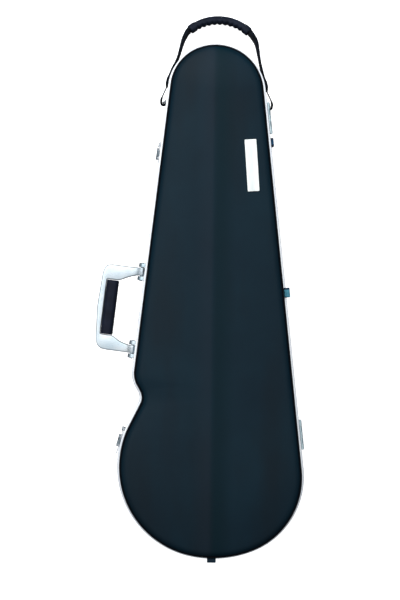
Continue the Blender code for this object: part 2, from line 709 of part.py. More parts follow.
def make_handle_mounts():
    """Two clevis brackets on the base wall, each with two ears, and the pins through them."""
    frame = handle_frame_matrix()
    length, height, thickness = HANDLE_PLATE
    made = []
    for label, side in (("upper", -1), ("lower", 1)):
        middle = side * HANDLE_ARM_SPREAD
        inner = HANDLE_ARM_WIDTH / 2 + HANDLE_EAR_GAP
        outer = inner + HANDLE_EAR_THICKNESS
        back = WALL_SEAT + thickness
        base = [(WALL_SEAT, -height / 2), (back, -height / 2), (back, height / 2), (WALL_SEAT, height / 2)]
        start, end = middle - length / 2, middle + length / 2
        bracket = make_object(f"handle_bracket_{label}", bar(base, start, end, frame), looks["aluminium"])
        ear = arc((HANDLE_PIN_OUT, 0.0), HANDLE_EAR_RADIUS, -90, 90, 6)
        ear += [(back - thickness / 2, height / 2 - MM), (back - thickness / 2, MM - height / 2)]
        for number, (near, far) in enumerate(((-outer, -inner), (inner, outer))):
            join(bracket, bar(ear, middle + near, middle + far, frame), f"ear_{number}")
        bore = rod((HANDLE_PIN_OUT, 0.0), HANDLE_PIN_RADIUS + PIN_PLAY, start - MM, end + MM, frame)
        cut(bracket, bore, "bore")
        pin = rod((HANDLE_PIN_OUT, 0.0), HANDLE_PIN_RADIUS, middle - outer - MM, middle + outer + MM, frame)
        made += [bracket, make_object(f"handle_pin_{label}", pin, looks["steel"])]
    return made


# Latches


def claw_section():
    """Section of a latch claw: a boss round its pin, a bent strip over the rim and a tip over the keeper."""
    out, height = LATCH_CLAW_PIVOT
    half = LATCH_SHEET / 2
    open_half = LATCH_CLAW_BOSS_OPENING / 2
    boss = arc((out, height), LATCH_CLAW_BOSS, 90 + open_half, 450 - open_half, 10)[::-1]
    over = RIM_PROUD + CLEARANCE + KEEPER_THICKNESS + CLEARANCE
    bend = -RIM_HEIGHT - 3.6 * MM
    tip_low = KEEPER_TOP + CLEARANCE
    return [
        *boss,
        (out - half, height + 2.4 * MM),
        (out - half, bend),
        (over, -RIM_HEIGHT - MM),
        (over, tip_low),
        (RIM_PROUD + CLEARANCE, tip_low),
        (RIM_PROUD + CLEARANCE, tip_low + LATCH_SHEET),
        (over + LATCH_SHEET, tip_low + LATCH_SHEET),
        (over + LATCH_SHEET, -RIM_HEIGHT - 1.6 * MM),
        (out + half, bend - 0.6 * MM),
        (out + half, height + 2.4 * MM),
    ]


def make_latch(name, y, width, lever_width):
    """Draw latch. Returns its fixed parts, lever parts, claw, keeper, and its two pivots."""
    wall = wall_frame(y, left=True)
    frame = wall @ Matrix.Translation((0, LATCH_LEVER_SHIFT, 0))
    plate_half = width / 2
    half = lever_width / 2
    pivot_out, pivot_height = LATCH_LEVER_PIVOT
    back = WALL_SEAT + LATCH_PLATE_THICKNESS
    low, high = -LATCH_PLATE_BOTTOM, -LATCH_PLATE_TOP
    base = [(WALL_SEAT, low), (back, low), (back, high), (WALL_SEAT, high)]
    mount = make_object(f"{name}_base", bar(base, -plate_half, plate_half, wall), looks["steel"])
    lock_place = outward_frame(wall, LATCH_LOCK_INSET - plate_half, LATCH_LOCK_HEIGHT)
    lock = plate(circle((0, 0), LATCH_LOCK_RADIUS, 12), back - MM, LATCH_LOCK_PROUD, lock_place)
    join(mount, lock, "lock_barrel")
    ear = arc(LATCH_LEVER_PIVOT, LATCH_EAR_RADIUS, -55, 55, 4)
    ear += [(back - MM, pivot_height + 5.5 * MM), (back - MM, pivot_height - 7.0 * MM)]
    inner = half - LATCH_EAR_THICKNESS
    for number, side in enumerate((-1, 1)):
        near, far = sorted((side * inner, side * (half - JOIN_STEP)))
        join(mount, bar(ear, near, far, frame), f"ear_{number}")
    bore_radius = LATCH_PIN_RADIUS + PIN_PLAY
    cut(mount, rod(LATCH_LEVER_PIVOT, bore_radius, -half - MM, half + MM, frame), "bore")

    reach = inner - CLEARANCE
    flange = reach - LATCH_EAR_THICKNESS
    face = LATCH_LEVER_FACE + LATCH_SHEET
    inside, top, bottom = LATCH_LEVER_FACE, -LATCH_LEVER_TOP, -LATCH_LEVER_BOTTOM
    sheet = [(inside, top), (face, top), (face, bottom + 2 * LATCH_LIP), (face + LATCH_LIP, bottom)]
    sheet += [(face + LATCH_LIP / 2, bottom - LATCH_LIP / 2), (inside, bottom + LATCH_LIP)]
    lever = make_object(f"{name}_lever", bar(sheet, -reach, reach, frame), looks["aluminium"])
    claw_out, claw_height = LATCH_CLAW_PIVOT
    cheek = arc(LATCH_LEVER_PIVOT, LATCH_EAR_RADIUS, 0, 180, 6)
    cheek += [
        (claw_out - LATCH_EAR_RADIUS, claw_height + LATCH_EAR_RADIUS),
        (claw_out - LATCH_EAR_RADIUS, claw_height - LATCH_EAR_RADIUS),
        (inside + LATCH_SHEET / 2, top - LATCH_LEVER_BOTTOM / 6),
        (face - JOIN_STEP, top - JOIN_STEP),
    ]
    for number, side in enumerate((-1, 1)):
        near, far = sorted((side * flange, side * (reach - JOIN_STEP)))
        join(lever, bar(cheek, near, far, frame), f"cheek_{number}")
        near, far = sorted((side * (flange + MM), side * half))
        join(lever, rod(LATCH_LEVER_PIVOT, LATCH_PIN_RADIUS, near, far, frame), f"trunnion_{number}")
    cut(lever, rod(LATCH_CLAW_PIVOT, bore_radius, -reach - MM, reach + MM, frame), "claw_bore")

    claw_half = flange - CLEARANCE
    claw_mesh = bar(claw_section(), -claw_half, claw_half, frame)
    claw = make_object(f"{name}_claw", claw_mesh, looks["black_steel"])
    cut(claw, rod(LATCH_CLAW_PIVOT, bore_radius, -claw_half - MM, claw_half + MM, frame), "bore")
    claw_pin = rod(LATCH_CLAW_PIVOT, LATCH_PIN_RADIUS, -reach, reach, frame)
    seat = RIM_PROUD + CLEARANCE
    catch = [(seat, KEEPER_BOTTOM), (seat + KEEPER_THICKNESS, KEEPER_BOTTOM)]
    catch += [(seat + KEEPER_THICKNESS, KEEPER_TOP), (seat, KEEPER_TOP)]
    keeper = make_object(f"{name}_keeper", bar(catch, -plate_half, plate_half, wall), looks["aluminium"])
    return {
        "fixed": [mount],
        "lever": [lever, make_object(f"{name}_claw_pin", claw_pin, looks["steel"])],
        "claw": [claw],
        "keeper": keeper,
        "lever_pivot": frame @ Vector((pivot_out, 0, pivot_height)),
        "claw_pivot": frame @ Vector((claw_out, 0, claw_height)),
        "axis": -(frame.to_3x3() @ Vector((0, 1, 0))),
    }


# Hinges


def hinge_axis_out():
    return RIM_PROUD + CLEARANCE + HINGE_BARREL_RADIUS


def make_hinge(name, y, length):
    """Butt hinge outside the rim: base leaf, lid leaf with interleaved knuckles, and the pin."""
    frame = wall_frame(y, left=False)
    axis_out = hinge_axis_out()
    seat = RIM_PROUD + CLEARANCE
    face = seat + HINGE_LEAF_THICKNESS
    pitch = length / HINGE_KNUCKLES
    bore = HINGE_PIN_RADIUS + PIN_PLAY
    leaves = []
    for leaf_name, up, first in (("base_leaf", -1, 0), ("lid_leaf", 1, 1)):
        low, high = up * HINGE_LEAF_START, up * HINGE_LEAF_HEIGHT
        strip = [(seat, low), (face, low), (face, high), (seat, high)]
        leaf = make_object(f"{name}_{leaf_name}", bar(strip, -length / 2, length / 2, frame), looks["steel"])
        knuckle = [(u, up * z) for u, z in arc((axis_out, 0.0), HINGE_BARREL_RADIUS, 80, -180, 9)]
        root = up * (HINGE_LEAF_START + MM)
        knuckle += [(seat + JOIN_STEP, root), (face - JOIN_STEP, root)]
        for number in range(first, HINGE_KNUCKLES, 2):
            start = -length / 2 + number * pitch + HINGE_KNUCKLE_GAP / 2
            end = start + pitch - HINGE_KNUCKLE_GAP
            join(leaf, bar(knuckle, start, end, frame), f"knuckle_{number}")
        cut(leaf, rod((axis_out, 0.0), bore, -length, length, frame), "bore")
        leaves.append(leaf)
    pin = rod((axis_out, 0.0), HINGE_PIN_RADIUS, -length / 2 - MM, length / 2 + MM, frame)
    pin_object = make_object(f"{name}_pin", pin, looks["steel"])
    return leaves[0], leaves[1], pin_object, frame @ Vector((axis_out, 0, 0))


# Feet and bumpers


def make_back_foot(name, x, y):
    ring = circle((x, y), BACK_FOOT_RADIUS, 16)
    small = circle((x, y), BACK_FOOT_RADIUS - BACK_FOOT_TAPER, 16)
    top = FOOT_HEIGHT - CLEARANCE
    rings = [
        [Vector((a, b, 0.0)) for a, b in small],
        [Vector((a, b, BACK_FOOT_TAPER / 2)) for a, b in ring],
        [Vector((a, b, top)) for a, b in ring],
    ]
    return make_object(name, loft(rings), looks["rubber"])


def make_bumper(name, frame, proud, width, heights):
    """Rubber block on a wall, between two heights from the split, with its outer edges chamfered."""
    low, high = heights
    edge = proud - BUMPER_CHAMFER
    section = [(WALL_SEAT, low), (edge, low), (proud, low + BUMPER_CHAMFER), (proud, high - BUMPER_CHAMFER)]
    section += [(edge, high), (WALL_SEAT, high)]
    return make_object(name, bar(section, -width / 2, width / 2, frame), looks["blue_rubber"])


def make_bumpers():
    """Bumpers of the base and of the lid: the middle and the end one come as a pair, one on each half."""
    upper = wall_frame(SIDE_BUMPER_UPPER[0], left=False)
    middle = wall_frame(SIDE_BUMPER_MIDDLE[0], left=False)
    end = end_frame(END_FOOT_X)
    low, high = BASE_BUMPER_HEIGHTS, LID_BUMPER_HEIGHTS
    on_base = [
        make_bumper("side_bumper_upper", upper, *SIDE_BUMPER_UPPER[1:], low),
        make_bumper("side_bumper_middle", middle, *SIDE_BUMPER_MIDDLE[1:], low),
        make_bumper("end_foot", end, END_FOOT_PROUD, END_FOOT_WIDTH, low),
    ]
    on_lid = [
        make_bumper("lid_side_bumper", middle, *SIDE_BUMPER_MIDDLE[1:], high),
        make_bumper("lid_end_foot", end, END_FOOT_PROUD, END_FOOT_WIDTH, high),
    ]
    return on_base, on_lid


# Carrying strap


def strap_frame():
    """Frame of the strap's plane: X between the eyes, Y towards the grip and Z up off the plane."""
    ends = []
    for y, left in ((LUG_Y_LEFT, True), (LUG_Y_RIGHT, False)):
        place = wall_frame(y, left) @ Vector((EYE_BAR_OUT, 0, LUG_HEIGHT - SPLIT))
        ends.append(place)
    along = (ends[1] - ends[0]).normalized()
    level = Vector((0, 0, 1)).cross(along)
    reach = STRAP_GRIP_ARC_CENTRE[1] + STRAP_GRIP_ARC_RADIUS
    tilt = math.asin((LUG_HEIGHT - STRAP_GRIP_REST_HEIGHT) / reach)
    forward = level * math.cos(tilt) - Vector((0, 0, 1)) * math.sin(tilt)
    middle = (ends[0] + ends[1]) / 2
    frame = Matrix.Translation(middle) @ Matrix((along, forward, along.cross(forward))).transposed().to_4x4()
    return frame, (ends[1] - ends[0]).length / 2


def grip_section(share):
    """Eight-sided grip section with finger ridges on the inner side and a cuff at each end."""
    between = (share - STRAP_CUFF_SHARE) / (1 - 2 * STRAP_CUFF_SHARE)
    wave = 0.5 - 0.5 * math.cos(2 * math.pi * STRAP_GRIP_RIDGES * between)
    cuff = between < 0 or between > 1
    thick = STRAP_GRIP_HALF_THICKNESS
    inner = thick + (STRAP_CUFF_SWELL if cuff else STRAP_GRIP_RIDGE * (wave - 0.5))
    outer = thick + (STRAP_CUFF_SWELL if cuff else 0.0)
    deep = STRAP_GRIP_HALF_DEPTH
    bend = 0.7
    return (
        (-inner, -deep * 0.35),
        (-inner * bend, -deep),
        (outer * bend, -deep),
        (outer, -deep * 0.35),
        (outer, deep * 0.35),
        (outer * bend, deep),
        (-inner * bend, deep),
        (-inner, deep * 0.35),
    )


def webbing_section(share):
    """Flat section of a webbing leg: doubled and stitched at both ends, single between."""
    for (start, thick), (end, following) in zip(WEBBING_THICKNESSES, WEBBING_THICKNESSES[1:]):
        if share <= end:
            break
    half = (thick + (following - thick) * (share - start) / (end - start)) / 2
    deep = WEBBING_WIDTH / 2
    return ((-half, -deep), (half, -deep), (half, deep), (-half, deep))


def hook_section(share):
    """Round section of a hook's wire, thicker in its curl."""
    grown = min(1.0, share / HOOK_CURL_SHARE)
    return circle((0, 0), HOOK_WIRE_RADIUS + (HOOK_CURL_RADIUS - HOOK_WIRE_RADIUS) * grown, 6)


def make_strap():
    """The whole carrying strap with its hooks and swivel eyes, and the fixed lugs on the base."""
    frame, half_span = strap_frame()
    plane_up = (frame.to_3x3() @ Vector((0, 0, 1))).normalized()
    steps = STRAP_GRIP_STEPS
    first, last = math.pi / 2 + STRAP_GRIP_HALF_ANGLE, math.pi / 2 - STRAP_GRIP_HALF_ANGLE
    path = []
    for step in range(steps + 1):
        angle = first + (last - first) * step / steps
        across = STRAP_GRIP_ARC_CENTRE[0] + STRAP_GRIP_ARC_RADIUS * math.cos(angle)
        along = STRAP_GRIP_ARC_CENTRE[1] + STRAP_GRIP_ARC_RADIUS * math.sin(angle)
        path.append(frame @ Vector((across, along, 0)))
    moving = [make_object("strap_grip", sweep(path, grip_section, plane_up), looks["black_plastic"])]
    fixed = []
    sides = (
        ("left", -1, LEFT_WEBBING_POINTS, path[0], path[1], LUG_Y_LEFT),
        ("right", 1, RIGHT_WEBBING_POINTS, path[-1], path[-2], LUG_Y_RIGHT),
    )
    for label, side, points, grip_end, grip_next, lug_y in sides:
        outward = (grip_end - grip_next).normalized()
        start = grip_end + outward * CLEARANCE
        route = [start, start + outward * 4 * MM] + [frame @ Vector((*point, 0)) for point in points]
        strip_path = smooth_path(route, 9 * MM)
        strip_path[0], strip_path[1] = start, start + outward * 2 * MM
        webbing = sweep(strip_path, webbing_section, plane_up)
        moving.append(make_object(f"strap_webbing_{label}", webbing, looks["webbing"]))
        moving.append(make_hook(label, side, frame, half_span, strip_path))
        eye, lug = make_eye_and_lug(label, side, frame, half_span, lug_y)
        moving.append(eye)
        fixed.append(lug)
    return moving, fixed, frame


def make_hook(label, side, frame, half_span, strip_path):
    """Wire hook from the webbing's end round the eye's bar, with its tip turned back up inside."""
    turn = EYE_BAR_RADIUS + HOOK_PLAY + HOOK_CURL_RADIUS
    run = (strip_path[-1] - strip_path[-2]).normalized()
    start = strip_path[-1] + run * CLEARANCE
    inverse = frame.inverted()
    begin, lead = inverse @ start, inverse @ (start + run * 3 * MM)
    points = [Vector((begin.x, begin.y)), Vector((lead.x, lead.y))]
    points.append(Vector((side * (half_span + turn), 7.0 * MM)))
    for degrees in (0, -36, -72, -108, -144, -180):
        angle = math.radians(degrees)
        points.append(Vector((side * (half_span + turn * math.cos(angle)), turn * math.sin(angle))))
    points.append(Vector((side * (half_span - turn), HOOK_TIP)))
    path = [frame @ Vector((point.x, point.y, 0)) for point in points]
    plane_up = (frame.to_3x3() @ Vector((0, 0, 1))).normalized()
    return make_object(f"strap_hook_{label}", sweep(path, hook_section, plane_up), looks["black_steel"])


def make_eye_and_lug(label, side, frame, half_span, lug_y):
    """Swivel eye that turns with the strap, and the wedge-shaped lug on the wall that carries its shank."""
    out = (frame.to_3x3() @ Vector((side, 0, 0))).normalized()
    middle = frame @ Vector((side * half_span, 0, 0))
    spin = Matrix((frame.col[1].to_3d(), frame.col[2].to_3d(), out)).transposed().to_4x4()
    local = Matrix.Translation(middle - out * EYE_BAR_OUT) @ spin
    disc_low = LUG_FACE_OUT + CLEARANCE
    disc_high = disc_low + EYE_DISC_THICKNESS
    disc = circle((0, 0), EYE_DISC_RADIUS, 16)
    eye = make_object(f"strap_eye_{label}", plate(disc, disc_low, disc_high, local), looks["steel"])
    shank = circle((0, 0), EYE_SHANK_RADIUS, 12)
    join(eye, plate(shank, disc_low - EYE_SHANK_LENGTH, disc_low + MM / 2, local), "shank")
    high = EYE_BAR_HALF_HEIGHT
    foot = disc_high - MM / 2
    staple = [(foot, -high), (EYE_BAR_OUT - MM, -high), (EYE_BAR_OUT, -high + MM)]
    staple += [(EYE_BAR_OUT, high - MM), (EYE_BAR_OUT - MM, high), (foot, high)]
    path = [local @ Vector((0, across, up)) for up, across in staple]
    wire = EYE_BAR_RADIUS
    ring = circle((0, 0), wire, 8)
    sideways = (local.to_3x3() @ Vector((1, 0, 0))).normalized()
    join(eye, sweep(path, lambda share: ring, sideways), "staple")

    wall = wall_frame(lug_y, left=side < 0)
    normal = (wall.to_3x3() @ Vector((1, 0, 0))).normalized()
    level = Vector((0, 0, 1)).cross(out).normalized()
    face_middle = middle - out * (EYE_BAR_OUT - LUG_FACE_OUT)
    size = LUG_SIZE / 2
    square = ((-size, -size), (size, -size), (size, size), (-size, size))
    outer = [face_middle + level * a + Vector((0, 0, b)) for a, b in square]
    inner = []
    for point in outer:
        distance = normal.dot(point - wall.translation) - WALL_SEAT
        inner.append(point - out * (distance / normal.dot(out)))
    lug = make_object(f"strap_lug_{label}", loft([inner, outer]), looks["steel"])
    bore = circle((0, 0), LUG_BORE_RADIUS, 12)
    cut(lug, plate(bore, -3 * MM, disc_low + MM, local), "bore")
    return eye, lug


# Assembly


def joint_empty(name, place):
    made = bpy.data.objects.new(name, None)
    made.empty_display_size = 0.02
    made.location = place
    bpy.context.scene.collection.objects.link(made)
    return made


def hang(pieces, parent):
    """Parents pieces to an empty without moving them."""
    bpy.context.view_layer.update()
    for piece in pieces:
        piece.parent = parent
        piece.matrix_parent_inverse = parent.matrix_world.inverted()


def clear_scene():
    for old in list(bpy.data.objects):
        bpy.data.objects.remove(old, do_unlink=True)


def build():
    """Builds every piece, hangs it on its joint and moves the case to its origin."""
    base = [make_base_shell(), make_rim("base_rim", -1, True), make_seal(), make_base_foam()]
    lid_shell = make_lid_shell()
    lid = [lid_shell, make_rim("lid_rim", 1, False), make_lid_pad(), make_name_plate(lid_shell)]
    base += [make_back_foot(*foot) for foot in BACK_FEET]
    base_bumpers, lid_bumpers = make_bumpers()
    base += base_bumpers
    lid += lid_bumpers
    base += make_handle_mounts()
    handle = make_handle()
    handle_frame = handle_frame_matrix()
    bodies = {"side_handle": (handle, handle_frame @ Vector((HANDLE_PIN_OUT, 0, 0)))}
    axes = {"side_handle": -(handle_frame.to_3x3() @ Vector((0, 1, 0)))}
    for name, y, width, lever_width in LATCHES:
        latch = make_latch(name, y, width, lever_width)
        base += latch["fixed"]
        lid.append(latch["keeper"])
        bodies[f"{name}_lever"] = (latch["lever"], latch["lever_pivot"])
        bodies[f"{name}_claw"] = (latch["claw"], latch["claw_pivot"])
        axes[f"{name}_lever"] = axes[f"{name}_claw"] = latch["axis"]
    for name, y, length in HINGES:
        base_leaf, lid_leaf, pin, hinge_place = make_hinge(name, y, length)
        base += [base_leaf, pin]
        lid.append(lid_leaf)
    bodies["lid"] = (lid, hinge_place)
    axes["lid"] = wall_frame(HINGES[0][1], left=False).to_3x3() @ Vector((0, 1, 0))
    strap, lugs, plane = make_strap()
    base += lugs
    bodies["carry_strap"] = (strap, plane.translation)
    axes["carry_strap"] = plane.to_3x3() @ Vector((1, 0, 0))
    compartment, hinge_line = make_compartment_lid()
    bodies["neck_compartment"] = (compartment, hinge_line)
    axes["neck_compartment"] = Vector((0, 1, 0))

    everything = base + [piece for pieces, _ in bodies.values() for piece in pieces]
    corners = [v.co for piece in everything for v in piece.data.vertices]
    middle_x = (min(c.x for c in corners) + max(c.x for c in corners)) / 2
    middle_y = (min(c.y for c in corners) + max(c.y for c in corners)) / 2
    case = joint_empty("case_origin", (0, 0, 0))
    hang(base, case)
    pivots = {}
    for name, (pieces, place) in bodies.items():
        pivots[name] = joint_empty(f"{name}_joint", place)
        hang(pieces, pivots[name])
    for name, pivot in pivots.items():
        carrier = pivots[name.replace("_claw", "_lever")] if name.endswith("_claw") else case
        hang([pivot], carrier)
    for tool, target in helpers:
        hang([tool], target)
    case.location = (-middle_x, -middle_y, 0.0)
    bpy.context.view_layer.update()
    for name, pivot in pivots.items():
        place = pivot.matrix_world.translation
        axis = axes[name].normalized()
        print(name, [round(v, 6) for v in place], [round(v, 6) for v in axis])
    return {name: [piece.name for piece in pieces] for name, (pieces, _) in bodies.items()}, pivots, axes


clear_scene()
helpers = []
looks = {
    "shell": material("moulded_shell", "1e2c36", 0.42, 0.0),
    "aluminium": material("satin_aluminium", "d5dde0", 0.35, 0.9),
    "bare_metal": material("brushed_plate", "e6e9e8", 0.4, 0.8),
    "steel": material("plated_steel", "b4bcc2", 0.28, 1.0),
    "black_steel": material("blackened_steel", "1b1e24", 0.45, 0.6),
    "leather": material("black_leather", "25282e", 0.55, 0.0),
    "rubber": material("black_rubber", "17191c", 0.8, 0.0),
    "blue_rubber": material("dark_blue_rubber", "2c4756", 0.7, 0.0),
    "black_plastic": material("black_plastic", "1a1f27", 0.5, 0.0),
    "webbing": material("black_webbing", "14161a", 0.85, 0.0),
    "plush": material("grey_plush_foam", "3d4147", 0.95, 0.0),
    "helper": material("helper", "808080", 0.5, 0.0),
}
body_nodes, joint_pivots, joint_axes = build()
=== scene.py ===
"""Render scene of the alto saxophone case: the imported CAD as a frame, dressed with finer pieces and finishes.

All lengths are metres in the CAD's own frame: +Z up through the lid, +Y towards the narrow end and +X
towards the hinges. Sizes of the case are written once, in the classes that build its pieces.
"""

from __future__ import annotations

import json
import logging
import math
from collections.abc import Callable, Iterator, Sequence
from contextlib import contextmanager
from dataclasses import dataclass, field
from enum import Enum

import bmesh
import bpy
from mathutils import Matrix, Vector
from mathutils.bvhtree import BVHTree

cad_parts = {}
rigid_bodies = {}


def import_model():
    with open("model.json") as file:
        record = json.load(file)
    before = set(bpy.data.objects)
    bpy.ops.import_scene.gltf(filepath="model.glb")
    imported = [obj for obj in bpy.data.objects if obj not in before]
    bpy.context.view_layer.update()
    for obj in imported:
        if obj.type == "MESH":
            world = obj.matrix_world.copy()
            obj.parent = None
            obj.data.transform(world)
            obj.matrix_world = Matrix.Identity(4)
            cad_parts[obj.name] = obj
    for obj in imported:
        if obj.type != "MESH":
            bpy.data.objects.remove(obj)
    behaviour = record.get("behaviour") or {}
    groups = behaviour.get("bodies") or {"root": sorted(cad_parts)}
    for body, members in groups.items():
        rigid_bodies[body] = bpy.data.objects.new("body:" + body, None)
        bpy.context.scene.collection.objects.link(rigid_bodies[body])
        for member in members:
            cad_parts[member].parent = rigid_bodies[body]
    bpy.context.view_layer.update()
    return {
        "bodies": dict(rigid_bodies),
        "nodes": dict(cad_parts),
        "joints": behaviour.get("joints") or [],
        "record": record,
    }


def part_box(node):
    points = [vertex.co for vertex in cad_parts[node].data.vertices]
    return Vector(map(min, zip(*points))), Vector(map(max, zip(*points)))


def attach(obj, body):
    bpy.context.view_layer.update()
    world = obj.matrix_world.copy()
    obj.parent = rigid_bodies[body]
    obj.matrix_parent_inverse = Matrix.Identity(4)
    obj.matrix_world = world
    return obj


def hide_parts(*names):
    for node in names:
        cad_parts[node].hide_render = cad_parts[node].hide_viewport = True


logging.basicConfig(level=logging.INFO, format="%(message)s")
log = logging.getLogger("case")

MM = 0.001

Plan = list[tuple[float, float]]
Ring = list[Vector]


class Body(Enum):
    """The bodies that pieces ride on."""

    BASE = "base"
    LID = "lid"
    HANDLE = "handle"
    STRAP = "strap"
    NECK_LID = "neck_lid"


class Slot(Enum):
    """The record's material slots."""

    SHELL = "moulded_shell"
    ALUMINIUM = "satin_aluminium"
    PLATE = "brushed_plate"
    STEEL = "plated_steel"
    DARK_STEEL = "blackened_steel"
    LEATHER = "black_leather"
    RUBBER = "black_rubber"
    BLUE_RUBBER = "dark_blue_rubber"
    PLASTIC = "black_plastic"
    WEBBING = "black_webbing"
    PLUSH = "grey_plush_foam"


def linear(hex_colour: str) -> tuple[float, float, float, float]:
    """Turns an sRGB hex colour into linear values.

    Args:
        hex_colour: six hex digits.

    Returns:
        Red, green, blue and alpha for a shader socket.
    """
    channels = [int(hex_colour[k : k + 2], 16) / 255 for k in (0, 2, 4)]
    values = [c / 12.92 if c <= 0.04045 else ((c + 0.055) / 1.055) ** 2.4 for c in channels]
    return (values[0], values[1], values[2], 1.0)


def arc(centre: tuple[float, float], radius: float, start: float, end: float, steps: int) -> Plan:
    """Points on a circle.

    Args:
        centre: the circle's middle.
        radius: its radius.
        start: first angle in degrees.
        end: last angle in degrees.
        steps: how many steps lie between them.

    Returns:
        The points in order, both ends included.
    """
    angles = [math.radians(start + (end - start) * step / steps) for step in range(steps + 1)]
    return [(centre[0] + radius * math.cos(a), centre[1] + radius * math.sin(a)) for a in angles]


def softened(corners: Sequence[tuple[float, float, float]], steps: int = 4) -> Plan:
    """Rounds a closed section's corners.

    Args:
        corners: x, y and rounding of each corner, in order.
        steps: how many steps each rounding takes.

    Returns:
        The rounded section's points, the same number for every corner.
    """
    found = []
    for index, (x, y, rounding) in enumerate(corners):
        here = Vector((x, y))
        before = Vector(corners[index - 1][:2])
        after = Vector(corners[(index + 1) % len(corners)][:2])
        reach = min(rounding, (before - here).length * 0.48, (after - here).length * 0.48)
        first = here + (before - here).normalized() * reach
        last = here + (after - here).normalized() * reach
        for step in range(steps + 1):
            t = step / steps
            point = first * (1 - t) ** 2 + here * 2 * t * (1 - t) + last * t**2
            found.append((point.x, point.y))
    return found


def glide(knots: Sequence[Sequence[float]], steps: int) -> list[list[float]]:
    """Smooth curve through rows of numbers.

    Args:
        knots: the rows to pass through.
        steps: how many steps lie between two rows.

    Returns:
        The rows along the curve, the last knot included.
    """
    found = []
    for index in range(len(knots) - 1):
        p1, p2 = knots[index], knots[index + 1]
        p0 = knots[index - 1] if index else p1
        p3 = knots[index + 2] if index + 2 < len(knots) else p2
        for step in range(steps):
            t = step / steps
            row = []
            for a, b, c, d in zip(p0, p1, p2, p3):
                bend = (2 * a - 5 * b + 4 * c - d) * t * t + (3 * b - a - 3 * c + d) * t**3
                row.append((2 * b + (c - a) * t + bend) / 2)
            found.append(row)
    return found + [list(knots[-1])]


